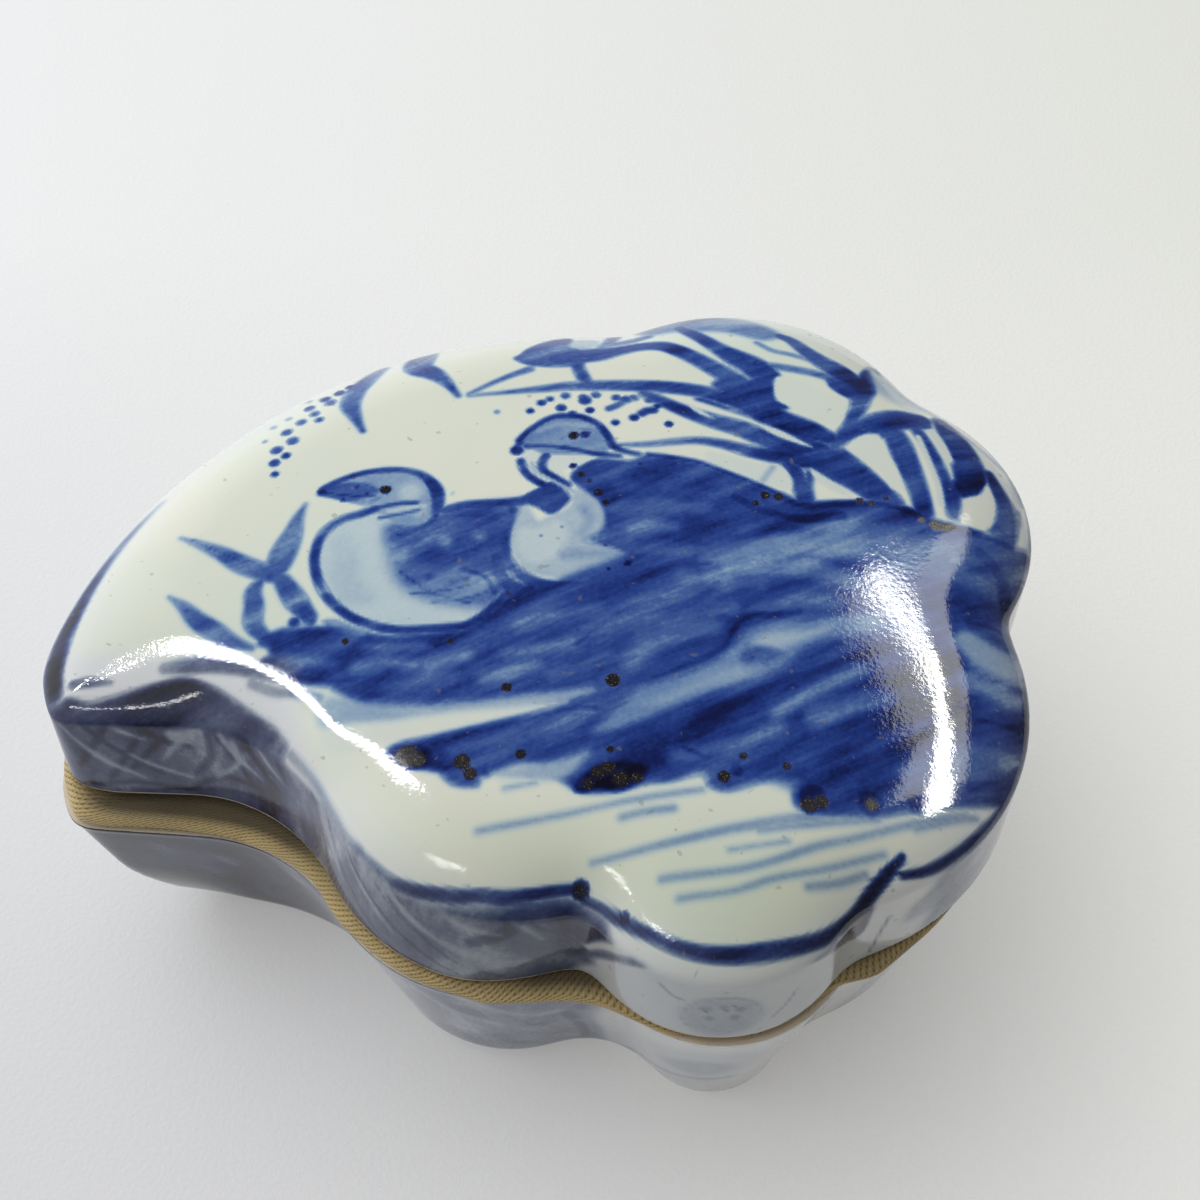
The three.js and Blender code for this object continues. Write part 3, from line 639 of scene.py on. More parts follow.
def paint_right_duck(c):
    c.area([(-8.4, 5.6), (-8.3, 6.4), (-7.7, 7.2), (-7, 7.9), (-6.2, 8.5), (-5.2, 8.8), (-4, 8.8),
        (-2.9, 8.2), (-1.9, 7), (-1.3, 5.6), (-2.2, 4.6), (-4.2, 4.2), (-6, 4.4), (-7.9, 5)], 0.36,
        soft=0.4)
    c.stroke([(-7, 7.2), (-5.4, 8), (-3.4, 7.8)], 0.6, 0.26, soft=0.6, how="over")
    c.area([(-8.2, 4), (-7.6, 5.2), (-6.2, 4.6), (-2.9, 4.5), (-4.3, 3.1), (-5, 2.9), (-4, 1.2), (-4.4, 0),
        (-6, 1.2), (-7.4, 2.4)], 0.06, soft=0.4)
    c.area([(-7.75, -1), (-8.4, -2.1), (-8.8, -3.4), (-8.5, -5), (-8, -6.3), (-7.15, -7.1), (-5.6, -7.55),
        (-4.65, -7.7), (-3.5, -7.45), (-2.15, -6.7), (-1, -6.3), (0.15, -5.7), (-0.2, -5.15),
        (-1.75, -4.75), (-2.9, -4.4), (-3.3, -3.9), (-2.15, -3), (-1.75, -1.9), (-2.05, -0.7), (-2.7, 0.2),
        (-3.9, 1), (-4.25, 0.25), (-4.45, -0.75), (-5.6, -1.5), (-6.6, -2.1), (-6.95, -1.7), (-7.5, -0.8)],
        0.19, soft=0.7)
    c.area([(-8, -3), (-6.6, -2.8), (-5.2, -2.2), (-4.4, -3.6), (-5.4, -5.6), (-7, -6.2), (-8.2, -4.8)],
        0.12, soft=1.1)
    c.stroke([(-4.6, -5.4), (-3, -5.2), (-1.4, -5.2)], 0.8, 0.3, soft=1, how="over")
    c.stroke([(-4.6, -8), (-2.8, -7.2), (-1, -6.4), (0.6, -5.6)], (0.8, 1, 1.3, 1.6),
        (0.6, 0.56, 0.56, 0.66), soft=1.3, how="over")
    c.stroke([(-3.4, -0.8), (-2.9, -2), (-3.4, -3.2)], 0.7, 0.28, soft=0.9, how="over")
    c.spots([(-3.2, -1.2), (-6.4, -3.6), (-4.95, -2.75)], 0.15, 0.42)
    c.area([(-4.3, 2.6), (-3.2, 3.7), (-2, 4.15), (0, 3.9), (1.6, 4.3), (0, 1.5), (-1.2, -0.4), (-2.2, 0.2),
        (-3.4, 1.2), (-4.2, 1.8)], 0.9, soft=0.5)
    c.area([(-7.9, 0.2), (-6.75, 1.1), (-5.8, 1.7), (-4.85, 0.9), (-4.4, 0.1), (-4.9, -0.8), (-5.8, -1.5),
        (-6.75, -0.9), (-7.6, -0.4)], 0.86, soft=0.4)
    c.stroke([(-9, -0.4), (-8.6, -1.4), (-9.05, -3), (-9.1, -4.7), (-8.6, -6.3), (-7.2, -7.7), (-5.6, -8.2),
        (-3.6, -8)], (0.7, 0.8, 0.9, 0.9, 0.9, 1, 0.9, 0.7), 0.78, soft=0.5)
    c.strokes([
        ([(-8.2, 3.9), (-8, 3.1), (-7.55, 2.35), (-6.8, 1.7), (-6, 1.2)], 0.6, 0.88),
        ([(-6.3, 4.45), (-6.6, 3.7), (-6.4, 2.85), (-5.6, 2.15), (-4.65, 1.4)], 0.65, 0.86),
    ])
    c.stroke([(-7.35, 3.7), (-6.95, 2.75), (-5.8, 1.95), (-4.2, 0.8)], 0.35, 0.2, soft=0.3, how="over")
    c.strokes([
        ([(-7.9, 5.5), (-5.95, 5.5), (-4.25, 5.2), (-2.3, 4.7), (-0.75, 4.5)], 0.5, 0.82),
        ([(-8.4, 6.1), (-7.8, 7.1), (-7.1, 7.85), (-6.35, 8.5), (-5.4, 8.9), (-4.05, 8.9), (-3.3, 8.6),
            (-2.3, 7.85), (-1.75, 6.9), (-1.35, 5.9), (-1.05, 5.45), (-0.2, 5), (0.75, 4.75)], (0.6, 0.5,
            0.5, 0.55, 0.55, 0.55, 0.6, 0.6, 0.65, 0.7, 0.6, 0.5, 0.45), 0.88),
    ])
    c.spot(-8.55, 5.05, 0.5, 0.98)
    c.stroke([(-8.5, 5.4), (-8.3, 6)], 0.6, 0.7)
    c.spot(-4.25, 6.7, 0.42, 1.1, iron=1)
    c.spot(-3.35, 6.85, 0.4, 1.05, iron=0.4)
    c.stroke([(-5.2, 6.3), (-4.2, 7.3), (-2.9, 7.4)], 0.25, 0.6)
    c.spots([(-3.6, 2.55, 0.4), (-3, 1.85, 0.3), (-2.25, 0.7, 0.45), (-1.7, -0.3, 0.35), (0.85, 3.7, 0.25),
        (-4.2, 3.4, 0.25), (-1.05, 5.45, 0.22)], 0.3, 1.12, iron=0.7)
    c.stroke([(-1.4, 3.2), (1.5, 3), (4.5, 2.3)], 0.5, 0.95, soft=0.7)
    c.stroke([(-0.6, 1.4), (3, 1.3), (6.5, 0.6)], 0.9, 0.74, soft=1, how="over")
    c.spots([(-1.6, -4.4, 0.22), (0, -6.1, 0.35), (-1.4, -6.6, 0.22)], 0.3, 1)


def paint_dots(c):
    c.spots([(-7.7, 9.5, 0.3), (-6.85, 10.45, 0.35), (-5.3, 9.85, 0.4), (-3.45, 10.75, 0.5),
        (-3.05, 9.6, 0.35), (-1.05, 8.2, 0.32), (0.4, 8.8, 0.38), (3.1, 8.15, 0.32), (-0.2, 10.9, 0.42),
        (2.2, 10.2, 0.3), (-6.2, 10.9, 0.3), (-4.4, 9.2, 0.3)], 0.3, 0.86)
    c.spots([(-10.3, 9.4, 0.25), (-13.2, 0.6, 0.1)], 0.2, 0.4)
    c.strokes([
        ([(-1.55, 9.8), (-0.9, 10.2), (-0.2, 10.9)], 0.6, 0.7),
        ([(1, 9.3), (1.35, 9.6), (1.9, 9.7)], 0.75, 0.72),
    ])
    c.spots([(-5, 11.3), (-3.6, 11.1), (-2.6, 11.4), (-1, 11.1), (0.4, 11.1), (1.6, 10.9)], 0.38, 0.72)
    c.spots([(-27.2, 4.45, 0.42), (-27.25, 6, 0.46), (-26.1, 6.95, 0.46), (-26.75, 8.2, 0.44),
        (-25.75, 9.35, 0.42), (-25.35, 11.3, 0.42), (-23.7, 11.7, 0.46), (-23.15, 13.1, 0.44),
        (-27, 3.2, 0.3), (-26.4, 5.2, 0.34), (-24.8, 10.3, 0.4), (-24.2, 12.4, 0.42),
        (-22.4, 13.9, 0.36)], 0.44, 0.84)
    c.spots([(-28, 9.3, 0.3), (-26.9, 10.2, 0.3), (-24.5, 12.5, 0.3), (-28.4, 7.4, 0.25),
        (-25.6, 12.6, 0.26)], 0.3, 0.34)
    c.spot(-24.3, 9.35, 0.34, 0.95)


def paint_hanging_leaves(c):
    c.strokes([
        ([(-20.1, 16.6), (-20.6, 15.5), (-21.2, 14.3), (-21.8, 12.9), (-22, 11), (-21.5, 9.5),
            (-20.65, 7.55)], (1.2, 1.4, 1.6, 1.7, 1.6, 1, 0.4), (0.3, 0.42, 0.56, 0.66, 0.7, 0.72, 0.7)),
        ([(-16.6, 19), (-16.8, 17.9), (-17, 15.8), (-15.65, 14.5), (-14.5, 13.1), (-13.45, 11.4)],
            (1.8, 2.3, 2.3, 1.6, 0.9, 0.4), (0.36, 0.46, 0.6, 0.7, 0.74, 0.74)),
    ])
    c.strokes([
        ([(-21.5, 13.8), (-22.2, 11.6), (-21.3, 9.2)], 0.4, 0.82),
        ([(-17.6, 17), (-16.2, 15.1), (-14.7, 13.3)], 0.5, 0.8),
    ], soft=0.6)


def paint_reeds(c):
    c.area([(1.5, 20.2), (4, 20.4), (8, 20), (11, 19), (12.4, 20.5), (9, 23), (3.5, 24), (0.5, 22)], 0.4,
        soft=1.2)
    c.strokes([
        ([(-12.6, 11.6), (-10.85, 12.9), (-9.3, 13.9), (-7.95, 14.65)], (0.3, 0.4, 0.5, 0.7), 0.66),
        ([(-12.6, 11.4), (-9.9, 11.7), (-7.1, 12.1), (-4.2, 12.5), (1.5, 12.55), (5.4, 12.1), (8.3, 11.1),
            (10.2, 10), (11.4, 9.25), (12.7, 8.65), (14.1, 8.1), (15.4, 7.5)], (0.3, 0.4, 0.7, 1, 1.3,
            1.4, 1.6, 2.1, 2.3, 2.3, 2.1, 1.5), (0.55, 0.62, 0.7, 0.74, 0.78, 0.8, 0.85, 0.92, 1, 1,
            0.96, 0.92)),
    ])
    c.area([(-9.3, 16.4), (-8.85, 16.9), (-8.1, 18.2), (-6.5, 19.6), (-4.8, 20.2), (-4.6, 18.6),
        (-3.85, 17.4), (-3.6, 15.6), (-3.85, 15.1), (-6.15, 14.9), (-7.9, 15.2), (-8.9, 15.8)], 0.66,
        soft=0.5, rim=0.12)
    c.area([(-4.9, 18.2), (-3.6, 17.8), (-2.4, 18.6), (-2.7, 19.8), (-4.4, 19.6)], 0.18, soft=0.4)
    c.strokes([
        ([(-4.2, 15.3), (-3.9, 14.3), (-3.5, 13.2)], 1, 0.78),
        ([(-5.6, 16.2), (-3.85, 16.6), (-2.3, 16.9), (-0.95, 17.4), (0.75, 18), (2.5, 18.05), (3.85, 17.3),
            (5.4, 16.1), (6.55, 15.15), (7.7, 14.2), (9.05, 13.05), (10.2, 11.8)], (2.1, 2.2, 2, 1.5, 1.3,
            1.4, 1.5, 1.5, 1.6, 1.7, 1.7, 1.7), 0.8),
        ([(-2.6, 17.6), (-1.7, 19), (-1.2, 20.6)], (0.5, 0.9, 1.1), 0.6),
        ([(-1.6, 18.6), (0, 19.2), (1.6, 20)], 0.8, 0.55),
        ([(4.2, 21.1), (5, 20.15), (6.15, 18.8), (7.3, 17.5), (8.45, 16.5), (9.8, 15.5), (10.75, 14.4),
            (11.05, 13.2), (10.6, 12), (9.8, 10.8)], (1.1, 1.2, 1.3, 1.5, 1.9, 2.3, 2.5, 2.4, 2.2, 1.8),
            (0.6, 0.66, 0.74, 0.8, 0.85, 0.88, 0.88, 0.86, 0.88, 0.92)),
    ])
    c.area([(6.6, 13), (8.2, 14), (10, 13.6), (11.6, 12.4), (12.6, 10.6), (10.4, 10.2), (8, 11.4)], 0.86,
        soft=0.7)
    c.spots([(10.1, 15.7, 0.35), (9.2, 16.4, 0.25)], 0.3, 1.05, iron=0.4)
    c.strokes([
        ([(12.35, 20), (13.3, 19.4), (14.3, 18.1), (15.6, 16.7), (16.8, 15.8), (17.7, 14.8), (18.3, 13.85),
            (18.3, 12.9)], (0.9, 1.1, 1.4, 1.8, 2.1, 2.2, 2, 1.5),
            (0.6, 0.64, 0.7, 0.76, 0.84, 0.88, 0.88, 0.85)),
        ([(10.4, 18.6), (11.6, 17.6), (13.2, 17.2), (14.8, 16.6)], 0.5, 0.42),
        ([(20, 17.1), (19.65, 16.15), (19.3, 15), (18.9, 13.85), (18.5, 12.9), (18.3, 11.9), (17.9, 10.8),
            (17.35, 9.2), (16.6, 7.9), (16, 6.7), (15.6, 5.8)],
            (1.2, 1.5, 1.7, 1.8, 1.7, 1.5, 1.3, 1.1, 1, 0.9, 0.8),
            (0.8, 0.86, 0.9, 0.9, 0.88, 0.82, 0.8, 0.78, 0.76, 0.76, 0.76)),
    ])
    c.spot(18.2, 13.2, 0.35, 1)
    c.stroke([(10, 15.7), (11.8, 15.5), (13.7, 15.2), (15.2, 14.9), (16.8, 14.4)],
        (0.7, 0.8, 0.8, 0.9, 1.2), 0.52)
    c.area([(16, 14.6), (17.6, 14.2), (18.4, 13), (17.6, 12.2), (16, 13.4)], 0.72, soft=0.5)
    c.strokes([
        ([(16.3, 7), (18, 8.8), (20, 10), (21.6, 10.6), (23.2, 10.9)], (0.9, 1.6, 2, 2.2, 1.8),
            (0.74, 0.78, 0.84, 0.86, 0.84)), ([(19.2, 8.2), (21, 9.6), (23.4, 10.4)], 1.2, 0.84),
    ])
    c.areas([
        ([(26.4, 12.4), (28.4, 10), (29.8, 7), (30.6, 3.4), (31.6, 6), (30.4, 10), (28, 13)], 0.44),
        ([(19.6, 17.6), (21.2, 16.6), (23, 14.4), (24.4, 12.6), (22, 12.6), (19.8, 14)], 0.17),
    ], soft=1.4)
    c.strokes([
        ([(20.2, 9.6), (21, 7.7), (21.4, 5.8), (21.8, 4), (22.15, 2.3), (22.35, 0.4)],
            (1.7, 2, 2, 1.8, 1.6, 1.5), 0.78),
        ([(22.5, 9.8), (23.3, 7.7), (23.9, 5.8), (24.3, 4), (24.55, 2.3), (24.75, 0.6)],
            (1, 1, 1, 1, 1.1, 1.3), 0.8),
        ([(24.85, 11.35), (25.4, 10), (26, 8.1), (26.4, 6.15), (26.4, 4.6), (26, 3.3)],
            (1.4, 2.1, 2.6, 2.8, 2.6, 2), (0.74, 0.8, 0.86, 0.9, 0.92, 0.9)),
        ([(25.2, 3.8), (24.9, 2.2), (24.8, 0.4)], 1, 0.8),
    ])
    c.spot(25.3, 3.55, 0.35, 1)
    c.strokes([
        ([(28.1, 5.8), (28.7, 3.85), (29.1, 2.3), (28.9, 0.75), (28.3, -0.8)], (0.9, 1.3, 1.7, 2, 2.2),
            0.84), ([(30, 2.5), (29.9, 1.3)], 0.5, 0.6),
    ])
    c.stroke([(21.4, 15.2), (23.3, 13.4), (25.8, 11.2), (28.1, 8.6), (30, 6.6)], 0.4, 0.26, soft=0.5)
    c.strokes([
        ([(-0.8, 5.7), (1.5, 5.85), (3.5, 6.2), (5.4, 6.4), (7.3, 6.1), (9.2, 5.5), (11.8, 5), (13.3, 4.8)],
            (0.3, 0.5, 0.6, 0.7, 0.9, 1.2, 1.5, 1.6), (0.6, 0.7, 0.74, 0.76, 0.8, 0.86, 0.9, 0.9)),
        ([(1.2, 11.7), (4, 9.9), (6.5, 8.7), (8.5, 8), (9.85, 7.3), (11.8, 6.15), (13.7, 5.2), (15, 4),
            (16.8, 3.1), (18.6, 1.6)], (0.9, 1.2, 1.5, 1.7, 1.8, 1.8, 1.8, 1.8, 1.7, 1.5), 0.78),
        ([(5.4, 11.2), (8.4, 9.9), (10.8, 8.9)], 0.5, 0.7),
        ([(10.6, 7.9), (13, 6.6), (15.4, 5), (17.6, 3.3), (19.8, 1.4)], (1.6, 2.4, 2.8, 2.6, 1.8), 0.84),
        ([(16.4, 6), (17.5, 4.8), (18.5, 3.65), (19.5, 2.3), (20.4, 1.2)], 0.95, 0.76),
        ([(12.2, 4.4), (12.9, 2.8), (13.2, 0.8)], 1.3, 0.84),
        ([(14.2, 4.4), (13.6, 2.4), (13.7, 0.6)], 0.7, 0.8),
        ([(19.5, 8.4), (20.2, 9.2), (20.8, 9.8)], 1.4, 0.76),
    ])
    # Porcelain left bare between the blades.
    c.areas([
        ([(9.7, 8.7), (11.4, 8.2), (13, 7.2), (14.3, 6.2), (12.6, 6.7), (11, 7.5)], 0.05),
        ([(13.8, 4.1), (15.2, 3.1), (16.9, 1.5), (15.8, 1.6), (14.2, 2.8)], 0.06),
    ], soft=0.35)
    c.area([(4.4, 10.7), (5.6, 9.9), (6.7, 8.95), (5.4, 9.4)], 0.08, soft=0.3)
    c.areas([
        ([(11.8, 14.3), (14.1, 13.65), (16, 12.5), (17.4, 11.7), (17, 10.2), (16.3, 8.7), (15.4, 9.1),
            (14.1, 9.7), (12.4, 10.8), (11.5, 11.7)], 0.02),
        ([(16.8, 6.5), (17.9, 7.9), (19.5, 8.3), (20, 6.5), (20.7, 4.6), (21, 2.5), (20, 2.5), (19.4, 4),
            (17.9, 5.4)], 0.03),
    ], soft=0.35)
    c.area([(6, 5.3), (8, 4.8), (10, 4.2), (11.7, 4.1), (12.5, 2.4), (11.9, 1.6), (9.9, 2.4), (7.9, 3.5),
        (6, 4.3)], 0.05, soft=0.4)
    c.stroke([(11, 3.9), (10.2, 2.5)], 0.6, 0.22)
    c.area([(25.7, 2.4), (27, 3.2), (27.7, 4.4), (28.2, 3), (28, 1.15), (27.2, -0.2), (25.1, 0),
        (25.4, 1.3)], 0.02, soft=0.35)
    c.strokes([
        ([(22.7, 8.6), (23.3, 5.6), (23.7, 3.4), (23.75, 1.4)], 0.55, 0.08),
        ([(23.9, 9.6), (24.5, 8.2), (24.9, 6.4)], 0.8, 0.06),
    ], soft=0.35, how="over")


def paint_left_leaves(c):
    c.strokes([
        ([(-33.4, -2.8), (-31.5, -3.8), (-29.9, -4.7), (-28.4, -5.7), (-26.85, -6.45), (-25.9, -7)],
            (0.25, 0.8, 1.3, 1.6, 1.5, 1), (0.4, 0.45, 0.5, 0.56, 0.6, 0.66)),
        ([(-24.25, -0.1), (-24.65, -1.45), (-24.9, -3), (-25.3, -4.55), (-25.7, -6.1), (-26, -7)],
            (0.3, 0.9, 1.5, 2, 1.8, 1), (0.45, 0.5, 0.52, 0.52, 0.56, 0.66)),
    ])
    c.spot(-26.1, -6.95, 0.45, 0.75, soft=0.6)
    c.strokes([
        ([(-25.6, -6.7), (-25.2, -7.3), (-24.1, -9), (-22.9, -10.6)], (0.8, 1.3, 1.7, 1.2),
            (0.6, 0.56, 0.6, 0.74)),
        ([(-26.7, -7.2), (-27.2, -8.2), (-27, -9.5), (-26.85, -11.1), (-25.7, -12.4)],
            (0.6, 1.2, 1.5, 1.4, 0.9), (0.62, 0.55, 0.5, 0.56, 0.66)),
        ([(-33.4, -8.4), (-32.2, -9.35), (-31.1, -10.5), (-29.7, -11.5), (-28.4, -12.4), (-26.8, -13)],
            (0.25, 0.9, 1.4, 1.5, 1.2, 0.6), (0.4, 0.46, 0.52, 0.52, 0.5, 0.4)),
    ])
    c.spots([(-23.9, -11, 0.4), (-22.7, -10.9, 0.35)], 0.4, 0.82, soft=0.6)
    for points in [
        [(-32.4, -3.2), (-29.4, -4.9), (-26.4, -6.8)], [(-24.5, -1.6), (-25.2, -4.4), (-26, -6.8)],
        [(-25.2, -7.5), (-23.6, -9.7)], [(-32, -9.6), (-29.8, -11.4)],
    ]:
        c.stroke(points, 0.3, 0.68, soft=0.5)
    c.strokes([
        ([(-33, -14.15), (-31.5, -14.05), (-29.5, -14), (-27.6, -14.35), (-26.1, -14.75), (-23.6, -15.2)],
            (0.8, 1.2, 1.4, 1.3, 1.3, 1.5), (0.4, 0.5, 0.46, 0.5, 0.55, 0.6)),
        ([(-26.5, -15.7), (-24.7, -16.5), (-23.6, -16.65), (-21.6, -17.2)], 0.7, 0.36),
    ])
    c.strokes([
        ([(-26, -12.6), (-23.6, -12.7), (-21.4, -12.2)], (0.8, 1.2, 1.2), 0.6),
        ([(-25.6, -14.2), (-23, -14.5), (-20.6, -15.4)], (0.8, 1.4, 1.6), 0.72),
    ], soft=0.6)
    c.area([(-21.95, -10.95), (-21, -10.8), (-19.65, -11.4), (-18.3, -12.1), (-19.5, -12.2),
        (-21.2, -11.7)], 0.3, soft=0.4)


def paint_water_lines(c):
    thin = 0.3
    for points, width in [
        ([(-9.9, -27.5), (-7.2, -27), (-4.15, -26.4), (-0.7, -25.6), (2.2, -25), (5.1, -24.5)], 0.5),
        ([(-0.3, -26.6), (1.2, -26.2), (3.15, -25.9)], 0.6),
        ([(-2.2, -29.5), (0.3, -29), (3.15, -28.3), (7, -27.3), (10.8, -26.5), (13.65, -25.9)],
            (0.4, 0.5, 0.6, 0.7, 0.9, 1)), ([(-8.2, -24.5), (-6.1, -24.1)], 0.35),
        ([(2.4, -30.8), (7, -30.2), (9.8, -29.4), (12.7, -28.2), (15.6, -27.3), (18.5, -26.3),
            (21.35, -25.35), (23.3, -24.8)], 0.6),
        ([(3.5, -32.1), (7, -31.6), (9.8, -30.6), (12.7, -29.8), (15, -29), (17.3, -28.2)], 0.5),
        ([(12.1, -30.9), (14.2, -30.35), (16, -29.6)], 0.6), ([(6.9, -28.8), (10.8, -28)], 0.35),
        ([(19.6, -26.3), (21.8, -25.5), (24, -24.8)], 0.5), ([(9, -27.3), (13, -26.6), (17, -26)], 0.6),
    ]:
        c.stroke(points, width, thin, soft=0.8)


def paint_shoulder_lines(c):
    c.stroke([(-40.9, -15.8), (-41.3, -14), (-41.2, -12), (-40.9, -10), (-40.4, -8), (-39.8, -6),
        (-38.8, -3.4), (-37.4, -0.6), (-35.8, 2)], (1.2, 1.4, 1.4, 1.2, 1, 0.9, 0.8, 0.7, 0.5),
        (1.2, 1.25, 1.2, 1.15, 1, 0.8, 0.5, 0.35, 0.2), soft=0.8)
    c.stroke([(-39.5, -15.2), (-38.2, -15.05), (-36.8, -15.1)], (0.7, 0.8, 0.4), (0.6, 0.55, 0.35))
    c.stroke([(-39.7, -16.7), (-38.2, -17.3), (-36.5, -17.1), (-34.7, -16.6), (-33, -16.2), (-31.5, -16),
        (-29.9, -16.4), (-28.4, -17.2), (-26.7, -18.2), (-25.1, -19.2), (-24, -20.2)],
        (1, 1.5, 1.9, 2, 2.1, 2.1, 1.8, 1.6, 1.3, 1.1, 0.8),
        (0.85, 1, 1.06, 1.08, 1.08, 1.06, 1, 0.92, 0.84, 0.74, 0.6), soft=0.8)
    c.area([(-41.6, -16.4), (-38, -17), (-34, -16.4), (-31, -16.3), (-28.6, -17.4), (-25.8, -19.4),
        (-23.4, -22), (-24.6, -23.2), (-28, -20.8), (-32, -19.4), (-37, -19.4), (-41.6, -18.6)], 0.86,
        soft=1.2)
    c.stroke([(-23.8, -22.6), (-22, -25.4), (-20, -28.6), (-17.6, -31), (-14.6, -32.6), (-11, -33.2),
        (-7, -33.2), (-4, -32.8), (-2.2, -33.4)], (1.6, 1.8, 2, 2.2, 2.4, 2.6, 2.6, 2.6, 2),
        (0.6, 0.5, 0.46, 0.5, 0.56, 0.6, 0.66, 0.74, 0.8), soft=1.4)
    c.stroke([(-23.4, -20.6), (-21.6, -22.6), (-20.2, -24.8), (-19, -26.8), (-18, -27.9)], 0.5,
        (0.34, 0.26, 0.26, 0.34, 0.55), soft=0.5)
    c.stroke([(-18, -27.9), (-16.85, -29.1), (-15.5, -30.2), (-13.6, -31), (-11.65, -31.4), (-9.9, -31.5),
        (-8, -31.6), (-6.1, -31.4), (-4.5, -31.1), (-3, -31)],
        (0.35, 0.45, 0.55, 0.7, 0.8, 0.8, 0.8, 0.7, 0.6, 0.6),
        (0.55, 0.7, 0.82, 0.92, 0.95, 0.95, 0.95, 0.92, 0.9, 1))
    c.spot(-2.95, -31.05, 0.58, 1.15, iron=0.4)
    c.stroke([(-2.9, -31.5), (-1.7, -32.1), (-0.4, -33), (1.5, -34.1), (3.6, -35.1), (5.4, -35.5),
        (7.2, -35.55), (9, -35.3), (10.8, -34.85), (12.7, -34.1), (14, -33.2), (15.2, -32.1),
        (16.35, -30.7), (17.5, -29.4), (18.6, -28.2)], (0.4, 0.5, 0.6, 0.7, 0.8, 0.9, 1, 1.1, 1, 0.8,
        0.7, 0.7, 0.8, 0.8, 0.5), 1, soft=0.5)
    c.spot(-0.15, -33, 0.42, 1.1)
    c.stroke([(18.6, -29.3), (20.4, -28.7), (22.3, -27.5), (24.2, -25.9), (26, -24), (27.2, -22),
        (28.1, -19.8), (28.6, -17.6), (28.7, -15)], (0.4, 0.5, 0.6, 0.7, 0.8, 0.9, 0.9, 0.8, 0.6), 0.98,
        soft=0.5)
    c.stroke([(28.9, -16), (29.6, -13), (29.8, -10), (29.2, -7.4), (30.2, -5), (31.2, -2), (31.6, 1),
        (31.4, 4)], (1.6, 1.8, 1.8, 1.8, 1.8, 1.6, 1.2, 0.7), (0.98, 1.04, 1.04, 1.04, 1.04, 1, 0.9, 0.7),
        soft=0.9)


def paint_iron_spots(c):
    c.spots([(10.3, 0.95, 0.4), (11.3, 0.85, 0.4), (9.5, 0.1, 0.3), (19.5, 1.45, 0.25), (22.05, -0.4, 0.3),
        (23.1, -0.75, 0.5), (23.9, -0.85, 0.5), (24.45, -0.7, 0.3), (17.45, 0.95, 0.3), (18.3, 0.8, 0.3)],
        0.3, 1.15, iron=1)
    c.spots([(-3.6, -12.1), (-2.05, -11.9), (-1.55, -11.4)], 0.22, 1, iron=0.2)
    c.spots([(-1, -16.2, 0.55), (-8.4, -16.8, 0.4), (-12.55, -12.95, 0.25), (-20.05, -12.75, 0.3),
        (-11.2, -22.5, 0.6), (-10.6, -23.4, 0.5), (-7.2, -22, 0.4), (-15, -21.9, 0.8), (-14.2, -22.3, 0.5)],
        0.3, 1.15, iron=1)
    c.spots([(-1.95, -23.3, 0.5), (-1.3, -23, 0.5), (-0.4, -23.8, 0.6), (0.75, -23.7, 0.4),
        (-1.1, -21.6, 0.3), (-2.6, -24.2, 0.4)], 0.4, 1.2, iron=1)
    c.spots([(12.3, -25.35, 0.6), (13.2, -25.05, 0.5), (10.9, -22.55, 0.35), (7.95, -21.9, 0.35),
        (6.6, -23.5, 0.5), (16.6, -25, 0.5)], 0.4, 1.15, iron=0.9)


def paint_pond(c):
    c.soft = 0.65
    paint_hanging_leaves(c)
    paint_reeds(c)
    paint_left_leaves(c)
    c.soft = 0.45
    paint_bank(c)
    paint_left_duck(c)
    paint_right_duck(c)
    paint_dots(c)
    paint_water_lines(c)
    paint_shoulder_lines(c)
    paint_iron_spots(c)


